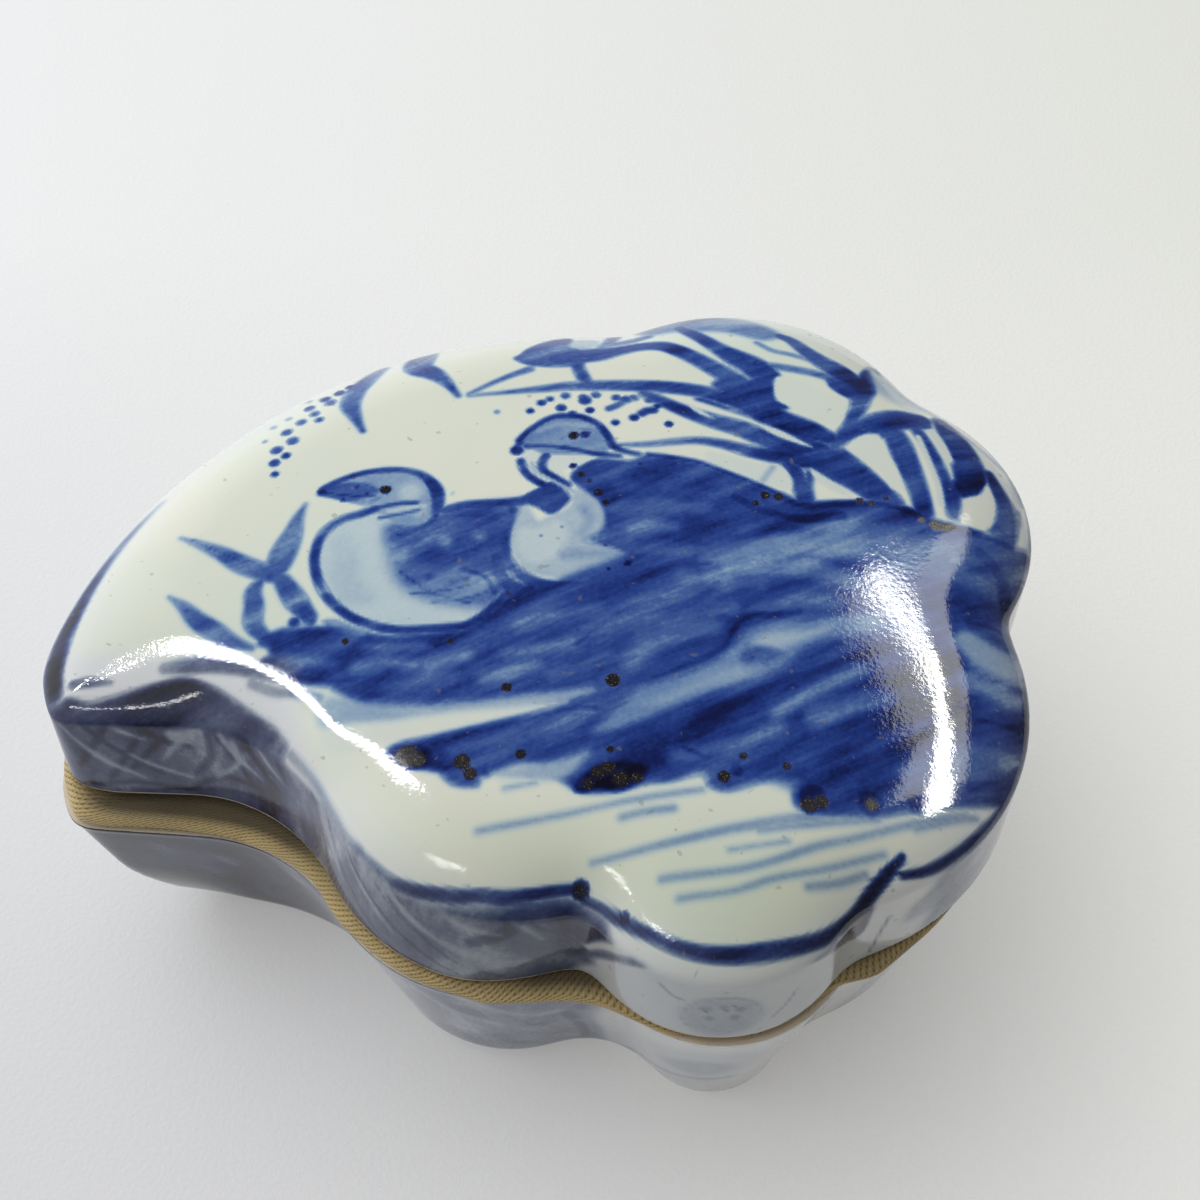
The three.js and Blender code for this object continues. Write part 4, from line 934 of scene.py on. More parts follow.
# The walls' brushwork, by distance round the edge from the tail's tip and height up the wall.
def paint_lid_wall(c):
    c.area([(-3, -1), (-3, 5), (-3, 10.5), (24, 10.5), (24.6, 6), (25.4, 3), (25.6, -1)], 0.68, soft=1.6)
    for points in [
        [(5.4, 3), (7.6, 7), (9, 10)], [(7.6, 2), (9.8, 6), (12, 10)], [(9.4, 3.4), (11.4, 6), (14, 9)],
        [(14, 3), (15.4, 5.4), (15.2, 9.6)], [(18.6, 3.6), (16.6, 6.6), (14.6, 9.6)],
        [(21.4, 4), (19, 6.6), (17.4, 9.6)], [(23, 5), (21.4, 7), (20.4, 9.6)],
        [(5.8, 8.6), (8.4, 5.4), (11.4, 3)], [(8.6, 9.6), (11.8, 6.6), (13.8, 6)],
        [(13.2, 1), (16.2, 3), (19.4, 3.2)], [(6, 1), (9, 1.6), (13, 1)],
    ]:
        c.stroke(points, 0.9, 1.04, soft=0.8)
    for points in [
        [(4.6, 7.6), (7, 4.4), (10, 2.2)], [(6.6, 9.4), (9, 7.4), (10.6, 6.6)],
        [(15.8, 8.6), (17.4, 6), (19.4, 4.6)], [(12, 9.8), (12.8, 8.4), (14.2, 7.4)],
        [(18.6, 9.2), (20, 7), (21.6, 5.6)], [(9.4, 4.8), (11, 3.6), (13.6, 2.4)],
        [(11.6, 4.2), (12.8, 6), (14.6, 7.8)], [(15.6, 2.8), (17.2, 4.6), (18.4, 6.6)],
        [(21.6, 9.4), (22.6, 7.4), (24, 6)],
    ]:
        c.stroke(points, (0.3, 0.6, 0.3), 0.28, soft=0.6, how="over")
    c.area([(12.1, 7.2), (12.9, 6.3), (13.7, 7.2), (12.9, 8.2)], 0.26, soft=0.5)
    c.area([(16.9, 7), (17.5, 5.4), (18, 6.2), (17.3, 7.8)], 0.3, soft=0.6)
    c.area([(18.6, 0), (19, 3.4), (21.6, 4.4), (24.6, 3), (24.8, -1), (18.6, -1)], 0.86, soft=1.8)
    # The sway: long soft drags that follow the wall, with a few clear lozenges.
    c.area([(24, -1), (23.8, 10.5), (36.8, 10.5), (47.6, 10.5), (48.4, 4), (48.2, -1)], 0.5, soft=2)
    c.strokes([
        ([(24, 9), (26.4, 5), (27.6, 1)], 1, 0.64), ([(31.2, 9.6), (33.6, 6.6), (37, 4.2)], 1, 0.68),
        ([(33.6, 9.6), (35.2, 7), (36.8, 8.6)], 0.8, 0.74),
        ([(40.6, 5.2), (43, 7), (43.6, 9.8)], 1.6, 0.88),
        ([(36.4, 6.2), (38, 5.8), (40, 6.2), (42, 5.6)], 0.7, 0.64),
        ([(43.8, 9.6), (44.8, 7.4), (45.9, 6)], 0.5, 0.88), ([(37, 3), (40, 2.4), (44.6, 5)], 0.5, 0.62),
        ([(29, 9), (30, 6), (31.6, 3)], 0.6, 0.62), ([(38.8, 9.6), (37.6, 8), (37.8, 6.4)], 0.6, 0.7),
        ([(42.4, 2.4), (44, 1.4), (46, 2)], 0.5, 0.62),
    ], soft=1)
    c.stroke([(34, 6.9), (36.2, 4.8), (39.4, 2.3), (42.4, 0.9)], 0.5, 0.7, soft=0.5)
    for points in [
        [(25.4, 8.6), (27, 6), (29.6, 3)], [(28.6, 9.4), (31.4, 5.6), (34.6, 2.6)],
        [(33.4, 8.4), (36, 5.8), (40, 3.4)], [(37.4, 8.8), (39.6, 7), (42.4, 6.4)],
        [(38.6, 4.6), (41.6, 3), (44.4, 2.6)], [(42.6, 8.6), (44, 7.2), (45.2, 5.4)],
    ]:
        c.stroke(points, (0.3, 0.6, 0.3), 0.3, soft=0.7, how="over")
    for points in [
        [(25.6, 9.8), (28.4, 5.6), (32, 2), (35, 0.4)], [(27.6, 9.9), (31, 6.4), (35.4, 3), (39.6, 0.8)],
    ]:
        c.stroke(points, 0.5, 0.86, soft=0.7)
    # The notch at the end of the sway is painted dark: cobalt, deepened as painted shade and reflection in
    # the notch.
    c.area([(46, 10.5), (45.8, 7.6), (46.6, 3.2), (47.8, 2.6), (48.6, 4.4), (50.2, 7.2), (53.4, 10.5)],
        0.78, soft=1.2)
    c.stroke([(45.7, 7.6), (45.8, 4.8), (46.1, 2.6), (45.6, 1)], 0.35, 0.6, soft=0.4)
    # Each lobe's panel: pale, edged by a line that rises from its notch, with a round flower in the middle.
    c.area([(48.8, -1), (49.4, 3), (51.4, 6.4), (54.6, 9), (63, 9), (67, 7.4), (71, 3), (72, -1)], 0.09,
        soft=1)
    c.stroke([(48.3, 4.2), (50, 6.6), (52.8, 9.2)], 0.7, 0.05, soft=0.6, how="over")
    c.stroke([(47.9, 1.2), (48.4, 3), (49.8, 5), (51.6, 6.8), (54, 8.7), (57.6, 9.4), (61.4, 9.4)],
        (0.3, 0.7, 0.8, 0.8, 0.9, 0.7, 0.5), (0.4, 0.5, 0.56, 0.6, 0.66, 0.6, 0.5), soft=0.6)
    c.stroke([(62, 9.2), (65, 8.4), (67.8, 6.8), (70, 4.8)], (0.8, 1.2, 1.2, 0.6), (0.5, 0.6, 0.55, 0.4),
        soft=0.8)
    c.area([(68.2, 10), (67.9, 8), (69.3, 5.6), (70.4, 5), (70.8, 7), (71.2, 10)], 0.9, soft=0.8)
    flower(c, 58.8, 4)
    c.stroke([(71.6, 1), (72, 3.2), (72.5, 5.4)], 0.3, 0.4, soft=0.4)
    c.area([(74, 3.4), (74.4, 5.6), (76.4, 6.6), (79, 6), (79.6, 4), (77, 3)], 0.24, soft=1.4)
    c.stroke([(71.6, 9.8), (78, 9.8), (84, 9.8), (90, 9.8), (98, 9.8), (106, 9.8)], 1.8, 0.98, soft=1.2)
    c.area([(78, -1), (76.6, 4), (78, 9), (100, 9), (100.6, 4), (99, -1)], 0.4, soft=2.4)
    flower(c, 88.6, 4.2)
    around_the_back(c, 9.6)


def flower(c, x, y):
    c.area([(x - 3, y - 0.6), (x - 1.9, y + 1.7), (x, y + 2.4), (x + 1.9, y + 1.7), (x + 3, y - 0.6), (x +
        2, y - 2.8), (x, y - 3.4), (x - 2, y - 2.8)], 0.2, soft=1.5)
    c.stroke([(x - 2.7, y - 1.6), (x - 2.3, y + 0.6), (x - 1.2, y + 2), (x + 0.6, y + 2.4), (x + 2.2, y +
        1.2), (x + 2.8, y - 1)], 0.5, 0.27, soft=1)
    for dx, dy in [(-1.1, 0.6), (0.1, 1), (1.2, 0.6), (0.9, -0.6), (-0.8, -0.7)]:
        c.spot(x + dx, y + dy, 0.45, 0.36, soft=0.6)
    c.spots([(x - 1.2, y + 0.3, 0.12), (x + 0.8, y + 1.1, 0.12), (x + 0.2, y + 0.6, 0.12)], 0.1, 0.7,
        iron=0.5)
    c.strokes([
        ([(x - 4.4, y + 2.6), (x - 3.4, y + 1.6), (x - 2.7, y + 1.4)], 0.35, 0.3),
        ([(x + 3.6, y - 1.8), (x + 4.6, y - 0.4), (x + 5.2, y + 1)], 0.35, 0.3),
    ], soft=0.5)


def around_the_back(c, top):
    """The side that the photograph doesn't show carries on in the same hand."""
    def at_scale(points):
        return [(x, y * top / 9.6) for x, y in points]

    for points, tone in [
        ([(100, -1), (98.6, 4), (100.4, 10.8), (118, 10.8), (121, 5), (118.6, -1)], 0.44),
        ([(118.6, -1), (121, 5), (118, 10.8), (137.6, 10.8), (135.4, 5), (137, -1)], 0.13),
        ([(137, -1), (135.4, 5), (137.6, 10.8), (160, 10.8), (162, 5), (160.4, -1)], 0.42),
        ([(160.4, -1), (162, 5), (160, 10.8), (177, 10.8), (175, 5), (176.4, -1)], 0.14),
        ([(176.4, -1), (175, 5), (177, 10.8), (218, 10.8), (218, -1)], 0.5),
    ]:
        c.area(at_scale(points), tone, soft=2.2)
    for points in [
        [(101, 9.4), (104.6, 6.4), (109, 4.4), (114.6, 1)],
        [(106, 10), (110, 7.6), (114, 6.2), (118.6, 3.4)], [(102.6, 5), (106, 2.6), (111, 0.6)],
        [(113.4, 10), (116, 8.6), (119.4, 7.4)], [(139, 9.8), (143.6, 6.6), (148, 1.4)],
        [(138.4, 5.8), (141, 3.6), (144, 0.8)], [(145.4, 9.8), (149.6, 6), (154.4, 2)],
        [(152, 9.6), (155.6, 6.6), (159.6, 4.2)], [(139, 1), (143.4, 4.8), (148.6, 9.4)],
        [(146.6, 0.8), (151.6, 5), (155.8, 9)], [(154, 1.2), (157, 4), (160, 8)],
        [(178, 9.6), (183.6, 6.2), (189, 4.6), (195, 1)], [(178.6, 5), (183, 2.4), (187.6, 0.8)],
        [(186, 10), (191.6, 7.4), (197, 6), (202.6, 2.4)], [(196, 10), (200.6, 8), (205, 6.8), (209, 4)],
        [(200, 2.4), (204, 1.4), (208.6, 0.4)],
    ]:
        c.stroke(at_scale(points), (0.5, 1, 0.9, 0.4)[:len(points)], 0.68, soft=1.1)
    for points in [
        [(103, 8.6), (107.4, 5.8), (112, 3.4)], [(110.6, 9.4), (114.4, 7.8), (118, 5.6)],
        [(141, 8.8), (144.6, 6.2), (147, 3.6)], [(148.6, 3), (151.4, 6.2), (153.6, 8.6)],
        [(155, 5.6), (157.6, 7.2), (159.6, 9.4)], [(142, 2), (144.8, 4), (147.4, 6.6)],
        [(181, 8), (186, 6), (190.6, 3.8)], [(190, 8.8), (195.6, 6.8), (200, 4.8)],
        [(199.6, 8.6), (203.6, 6.4), (207, 5)],
    ]:
        c.stroke(at_scale(points), (0.3, 0.7, 0.3), 0.22, soft=0.9, how="over")
    for x in (128, 168.4):
        flower(c, x, 0.44 * top)
    for points in [
        [(119.6, 1), (121.4, 3.6), (122, 7)], [(136.4, 9), (134.6, 6), (135.2, 2.4)],
        [(161.4, 8.6), (163, 5), (162.2, 1.6)], [(175.8, 1.4), (174, 4.6), (174.6, 8)],
    ]:
        c.stroke(at_scale(points), 0.5, 0.4, soft=0.7)


def paint_base_wall(c):
    # The tail is painted darkest: dense cobalt, deepened as painted shade where the tail lies in shadow.
    c.area([(-3, -2), (-3, 21), (19, 21), (21.6, 14), (19.6, 4), (18.4, -2)], 1.05, soft=2.6)
    for points in [
        [(8, 3), (11, 9), (13, 16)], [(10.6, 1), (14, 8), (16.4, 17)], [(14, 2), (16, 9), (19.6, 17)],
        [(6, 12), (9, 6), (13.6, 2)], [(8, 18), (12, 11), (17, 6)], [(12, 18), (15, 13), (19, 9)],
    ]:
        c.stroke(points, 1.3, 1.2, soft=1.3)
    for x, y in [
        (9.6, 10), (12.4, 5.6), (12.8, 13), (16.4, 10.6), (16.8, 15.2), (14.6, 2.6), (8.6, 15.6), (18, 6),
    ]:
        c.area([(x - 0.7, y), (x + 0.3, y - 1.2), (x + 0.7, y), (x - 0.3, y + 1.2)], 0.86, soft=1.2)
    c.area([(19, -2), (21, 8), (20, 21), (46.8, 21), (47.6, 10), (47, -2)], 0.46, soft=3)
    c.strokes([
        ([(24, 16), (27, 10), (29, 3)], 1.4, 0.54), ([(30, 18), (32.6, 11), (33.6, 4)], 1.3, 0.54),
        ([(35, 19), (37.4, 14), (38, 8)], 1.4, 0.58), ([(40, 18.6), (41.6, 13), (44.6, 8)], 1.4, 0.56),
        ([(44.6, 17), (42.6, 11), (38.6, 6)], 1.1, 0.56), ([(36.6, 12), (40.4, 9), (46, 5)], 1.2, 0.56),
        ([(22, 6), (26, 12), (30, 19)], 1.1, 0.52), ([(45.6, 12), (46.8, 6), (46.8, 1)], 1.4, 0.72),
    ], soft=1.6)
    for points in [
        [(25, 16), (27.6, 11), (31, 6.6)], [(33, 17.4), (36.4, 13.6), (40.4, 11)],
        [(38.6, 17.6), (42, 14), (45, 13)],
    ]:
        c.stroke(points, 0.7, 0.26, soft=1.4, how="over")
    c.area([(49, 3), (50.6, 10), (54, 15), (60, 16), (62, 12), (58, 6), (53, 1)], 0.1, soft=2.6)
    c.area([(54.4, 9.6), (56, 12.6), (59, 12.8), (60, 10.6), (57.4, 8.4)], 0.2, soft=2)
    c.strokes([
        ([(49.4, 1), (52, 3.6), (56, 6.6), (60, 8)], 0.9, 0.28),
        ([(69.6, 2), (69.9, 9), (68.4, 15)], 1.2, 0.34),
    ], soft=1.4)
    c.area([(74, 2), (76, 12), (82, 15), (88, 13), (92, 4), (84, 0)], 0.16, soft=3)
    around_the_back(c, 18)


# Cobalt as it looks through the glaze, from bare porcelain to where it pooled almost black.
COBALT_LIMIT = 1.25
COBALT_RAMP = [(0.0, (215, 217, 204)), (0.12, (184, 198, 204)), (0.22, (150, 170, 190)),
               (0.35, (110, 138, 178)), (0.5, (70, 98, 157)), (0.7, (44, 70, 141)), (0.85, (30, 52, 122)),
               (1.0, (20, 33, 88)), (COBALT_LIMIT, (13, 14, 34))]


def linear(colour):
    """A colour written in 0 to 255 as Blender's nodes take it."""
    return tuple(((v / 255 + 0.055) / 1.055) ** 2.4 if v > 10.3 else v / 255 / 12.92 for v in colour) + (1.0,)


class Nodes:
    """Short names for building a node tree."""

    def node(self, kind, inputs=None, **settings):
        made = self.tree.nodes.new(kind)
        for key, value in settings.items():
            setattr(made, key, value)
        for key, value in (inputs or {}).items():
            self.join(value, made.inputs[key])
        return made

    def join(self, value, socket):
        if isinstance(value, bpy.types.Node):
            value = value.outputs[0]
        if isinstance(value, bpy.types.NodeSocket):
            self.tree.links.new(value, socket)
        else:
            socket.default_value = value

    def math(self, operation, a, b=0.0, c=0.0, clamp=False):
        made = self.node("ShaderNodeMath", {0: a, 1: b, 2: c}, operation=operation)
        made.use_clamp = clamp
        return made.outputs[0]

    def add(self, a, b):
        return self.math("ADD", a, b)

    def times(self, a, b):
        return self.math("MULTIPLY", a, b)

    def between(self, value, low, high, to_low=0.0, to_high=1.0):
        return self.node("ShaderNodeMapRange", {0: value, 1: low, 2: high, 3: to_low, 4: to_high}).outputs[0]

    def mix(self, amount, a, b, blend="MIX"):
        made = self.node("ShaderNodeMix", data_type="RGBA", blend_type=blend)
        self.join(amount, made.inputs[0])
        self.join(a, made.inputs[6])
        self.join(b, made.inputs[7])
        return made.outputs[2]

    def tinted(self, colour, tint):
        return self.mix(1.0, colour, tint, "MULTIPLY")

    def noise(self, scale, detail, roughness, vector):
        inputs = {"Scale": scale, "Detail": detail, "Roughness": roughness, "Vector": vector}
        return self.node("ShaderNodeTexNoise", inputs).outputs[0]

    def bump(self, strength, distance, height, normal=None):
        inputs = {"Strength": strength, "Distance": distance, "Height": height}
        if normal is not None:
            inputs["Normal"] = normal
        return self.node("ShaderNodeBump", inputs).outputs[0]

    def attribute(self, name):
        return self.node("ShaderNodeAttribute", attribute_name=name).outputs["Fac"]

    def place(self, scale=(1, 1, 1), turn=0):
        """Object coordinates, turned by degrees and then stretched, for grains along the turned x axis."""
        inputs = {"Vector": self.node("ShaderNodeTexCoord").outputs["Object"],
                  "Scale": tuple(1 / k for k in scale), "Rotation": (0, 0, math.radians(turn))}
        return self.node("ShaderNodeMapping", inputs, vector_type="TEXTURE").outputs[0]


class Shader(Nodes):
    def __init__(self, name):
        self.material = bpy.data.materials.new(name)
        self.material.use_nodes = True
        self.tree = self.material.node_tree
        self.principled = self.tree.nodes["Principled BSDF"]

    def finish(self, **inputs):
        for key, value in inputs.items():
            self.join(value, self.principled.inputs[key.replace("_", " ")])
        return self.material


def cobalt_colour(s, laid):
    ramp = s.node("ShaderNodeValToRGB", {0: s.math("MULTIPLY", laid, 1 / COBALT_LIMIT, clamp=True)})
    points = ramp.color_ramp.elements
    while len(points) > 1:
        points.remove(points[-1])
    points[0].position, points[0].color = 0.0, linear(COBALT_RAMP[0][1])
    for tone, colour in COBALT_RAMP[1:]:
        points.new(tone / COBALT_LIMIT).color = linear(colour)
    return ramp.outputs[0]


def glaze(name, mirror):
    s = Shader(name)
    where = s.place()
    cobalt, iron = s.attribute("cobalt"), s.attribute("iron")
    # The blue is uneven: granules, cloudy pools and the drag of the brush.
    grain = s.between(s.noise(2600, 3, 0.65, where), 0.25, 0.75, -0.07, 0.07)
    cloud = s.between(s.noise(240, 4, 0.55, where), 0.25, 0.75, -0.12, 0.12)
    streak = s.between(s.noise(1, 4, 0.65, s.place((130, 900, 300), 24)), 0.3, 0.7, -0.15, 0.13)
    sweep = s.between(s.noise(1, 2, 0.5, s.place((60, 380, 150), 27)), 0.32, 0.68, -0.26, 0.14)
    brushed = s.times(s.add(streak, sweep), s.between(cobalt, 0.25, 0.65))
    uneven = s.math("MULTIPLY_ADD", s.add(grain, cloud), s.between(cobalt, 0.0, 0.6), brushed)
    colour = cobalt_colour(s, s.add(uneven, cobalt))
    # Thin places in the glaze are warmer and thick ones greener, with a few specks in the clay.
    thickness = s.between(s.noise(45, 3, 0.5, where), 0.35, 0.65)
    colour = s.tinted(colour, s.mix(thickness, linear((255, 253, 248)), linear((245, 250, 248))))
    # Painted shade towards the front lobe, with a little green of glaze that ran thick there.
    colour = s.mix(s.attribute("front_shade_and_pool"), colour, s.tinted(colour, linear((236, 237, 228))))
    speck = s.between(s.noise(1500, 0, 0.5, where), 0.80, 0.84)
    colour = s.mix(s.times(speck, 0.35), colour, linear((120, 112, 96)))
    # Iron in the cobalt breaks through as dark spots with brown-gold flecks.
    fleck = s.noise(7600, 1, 0.5, where)
    rust = s.mix(s.between(fleck, 0.63, 0.72), linear((22, 20, 26)), linear((112, 90, 62)))
    rusty = s.between(s.add(iron, s.between(fleck, 0.3, 0.7, -0.25, 0.25)), 0.45, 0.75)
    colour = s.mix(rusty, colour, rust)
    # Orange peel in the glaze, finer and rougher where iron broke the skin.
    peel = s.bump(0.5, 0.000016, s.noise(2600, 2, 0.6, where))
    wave = s.bump(0.16, 0.00022, s.noise(130, 2, 0.5, where), peel)
    rough = s.add(s.between(s.noise(700, 2, 0.5, where), 0.3, 0.7, 0.045, 0.09), s.times(iron, 0.15))
    # Painted reflection: the blue is greyed down the walls, for the grey surroundings that their glaze
    # mirrors.
    grey = s.tinted(s.node("ShaderNodeRGBToBW", {0: colour}).outputs[0], linear((250, 248, 255)))
    colour = s.mix(s.times(s.attribute("reflection_grey"), 0.68), colour, grey)
    return s.finish(Base_Color=colour, Roughness=rough, Normal=wave, IOR=1.5, Specular_IOR_Level=mirror)


def biscuit():
    s = Shader("biscuit")
    where = s.place()
    cloud = s.between(s.noise(90, 4, 0.6, where), 0.3, 0.7)
    colour = s.mix(cloud, linear((206, 195, 172)), linear((188, 170, 142)))
    speck = s.between(s.noise(2400, 1, 0.5, where), 0.66, 0.72)
    colour = s.mix(s.times(speck, 0.5), colour, linear((112, 92, 70)))
    sand = s.bump(0.5, 0.00008, s.noise(2600, 4, 0.7, where))
    rough = s.between(s.noise(600, 2, 0.5, where), 0.3, 0.7, 0.68, 0.82)
    return s.finish(Base_Color=colour, Roughness=rough, Normal=sand)


def cotton():
    s = Shader("cotton")
    where = s.place()
    uv = s.node("ShaderNodeUVMap", uv_map="weave").outputs[0]
    split = s.node("ShaderNodeSeparateXYZ", {0: uv})
    wobble = s.between(s.noise(420, 2, 0.5, where), 0.3, 0.7, -0.3, 0.3)

    def ridge(value):
        return s.math("ABSOLUTE", s.math("SINE", s.times(value, math.pi)))

    # Threads a quarter of a millimetre apart, crossed by the diagonal ridges of the twill.
    u, v = (s.add(s.times(split.outputs[k], 3.7), wobble) for k in (0, 1))
    twill = ridge(s.times(s.add(u, v), 0.5))
    relief = s.add(s.times(twill, 0.62), s.times(s.times(ridge(u), ridge(v)), 0.38))
    relief = s.math("MULTIPLY_ADD", s.noise(9000, 3, 0.7, where), 0.22, relief)
    shade = s.between(s.noise(160, 3, 0.55, where), 0.3, 0.7)
    # Painted shade and highlight: the weave is darker in its valleys and lighter on its ridges.
    high = s.mix(shade, linear((208, 184, 126)), linear((182, 161, 110)))
    low = s.mix(shade, linear((132, 106, 64)), linear((114, 92, 58)))
    colour = s.mix(s.between(relief, 0.2, 0.85), low, high)
    # Thicker threads here and there, and painted shade on the strip's inner top, where the lid's edge shades
    # it.
    along_thread = s.node("ShaderNodeMapping", {"Vector": uv, "Scale": (0.5, 9, 1)})
    slub = s.between(s.noise(3, 2, 0.5, along_thread), 0.6, 0.75)
    colour = s.mix(s.times(slub, 0.3), colour, linear((196, 172, 124)))
    colour = s.mix(s.times(s.attribute("painted_shade"), 0.8), colour, linear((52, 44, 31)))
    cloth = s.bump(0.8, 0.0001, relief)
    return s.finish(Base_Color=colour, Roughness=0.92, Normal=cloth, Sheen_Weight=0.25, Sheen_Roughness=0.5)


# The base mirrors the floor, so its glaze is a little less glossy than the lid's.
lid_glaze, base_glaze = glaze("lid_glaze", 0.5), glaze("base_glaze", 0.3)
bare_clay, cotton_cloth = biscuit(), cotton()


def net_inside(rim, depth):
    """An even net of points inside a ring of the lid that lies that deep, and triangles over ring and net."""
    gx, gy = np.meshgrid(np.arange(lid_plan.xs[0], lid_plan.xs[-1], TOP_STEP),
                         np.arange(lid_plan.ys[0], lid_plan.ys[-1], TOP_STEP * math.sqrt(0.75)))
    gx[1::2] += TOP_STEP / 2
    keep = lid_plan.depth(gx, gy) > depth + TOP_STEP * 0.6
    points = [Vector(p) for p in np.vstack([rim, np.c_[gx[keep], gy[keep]]])]
    found = delaunay_2d_cdt(points, [], [list(range(COLUMNS))], 1, 1e-7)
    return np.array([tuple(p) for p in found[0]])[COLUMNS:], np.array(found[2])


def build_lid():
    """Rings from the edge of the top out over the shoulder, down the wall and up inside to the ceiling."""
    depths = [SHOULDER_WIDTH * (1 - math.sin(a)) for a in np.radians(np.linspace(*SHOULDER_ARC, 11))]
    rings = [at_height(ring, lid_surface(*ring.T)) for ring in map(lid_plan.ring, depths)]
    rings[-1][:, 2] = LID_WALL_HEIGHT
    net, top = net_inside(lid_plan.ring(depths[0]), depths[0])
    # Towards the tail the wall leans out a little on its way down.
    tangent = np.roll(lid_plan.rim, -3, 0) - np.roll(lid_plan.rim, 3, 0)
    outside = np.stack([tangent[:, 1], -tangent[:, 0]], 1) / np.hypot(*tangent.T)[:, None]
    lean = span(lid_plan.along, *LID_FLARE)

    def leaning(ring, z):
        return at_height(ring + outside * (lean * (1 - z / LID_WALL_HEIGHT) ** LID_FLARE_POWER)[:, None], z)

    rings += [leaning(lid_plan.rim, z) for z in np.linspace(LID_WALL_HEIGHT, EDGE_ROUND, 25)[1:]]
    glazed = len(rings) - 1
    rings += [leaning(lid_plan.ring(inward), up) for inward, up in rounding(EDGE_ROUND, 5)[1:]]
    underside = len(rings)
    rings.append(at_height(lid_plan.ring(LID_WALL_THICKNESS - EDGE_ROUND), 0.0))
    rings.append(at_height(lid_plan.ring(LID_WALL_THICKNESS), EDGE_ROUND))
    glazed_inside = len(rings)
    ceiling = LID_WALL_HEIGHT + SHOULDER_HEIGHT - LID_TOP_THICKNESS
    for inward, down in rounding(CEILING_FILLET, 6):
        ring = lid_plan.ring(LID_WALL_THICKNESS + inward)
        rings.append(at_height(ring, ceiling - down + (1 - down / CEILING_FILLET) * dome(*ring.T)))
    for share in (0.8, 0.55, 0.3, 0.1):
        rings.append(at_height(ring * share, ceiling + dome(*(ring * share).T)))

    quads = skin(rings)
    on_rings = len(rings) * COLUMNS
    middle = np.array([[0.0, 0.0, rings[-1][:, 2].mean()]])
    points = np.vstack(rings + [np.c_[net, lid_surface(*net.T)], middle])
    closing = fan(on_rings - COLUMNS, len(points) - 1)
    top = np.where(top < COLUMNS, top, top - COLUMNS + on_rings)
    a, b, c = (points[top[:, k], :2] for k in range(3))
    face_down = np.cross(b - a, c - a) < 0
    top[face_down] = top[face_down][:, ::-1]
    faces = np.vstack(quads).tolist() + closing.tolist() + top.tolist()
    bare = np.repeat([glazed <= k < glazed_inside for k in range(len(quads))], COLUMNS)
    slots = np.r_[bare, np.zeros(len(closing) + len(top))].astype(int)
    lid = make_object("porcelain_lid", points, faces, lid_place, [lid_glaze, bare_clay], slots)

    x, y, z = points.T
    pond = Canvas(x, y)
    paint_pond(pond)
    wall = Canvas(np.r_[np.tile(lid_plan.along, len(rings)), np.full(len(points) - on_rings, NOWHERE)], z)
    paint_lid_wall(wall)
    on_wall = 1 - smoothstep(*WALL_TO_TOP, z)
    on_wall[on_rings:] = 0
    painted = np.ones(len(points))
    painted[underside * COLUMNS:on_rings] = 0
    painted[-1] = 0
    put(lid, "cobalt", (pond.cobalt * (1 - on_wall) + wall.cobalt * on_wall) * painted)
    put(lid, "iron", (pond.iron * (1 - on_wall) + wall.iron * on_wall) * painted)
    # Painted reflection: the walls are greyed up to the shoulder, and higher near the tail.
    at_tail = smoothstep(*REFLECTION_GREY_TAIL_X, x) * smoothstep(*REFLECTION_GREY_TAIL_Y, y)
    put(lid, "reflection_grey", 1 - smoothstep(0, REFLECTION_GREY_FADE, z - LID_WALL_HEIGHT - REFLECTION_GREY_HIGHER_AT_TAIL * at_tail))
    # Painted shade: the glaze is darkened towards the front lobe, where less light falls, and a little
    # greener there, where it ran thick.
    put(lid, "front_shade_and_pool", smoothstep(*FRONT_SHADE_AND_POOL_Y, y))
    return lid


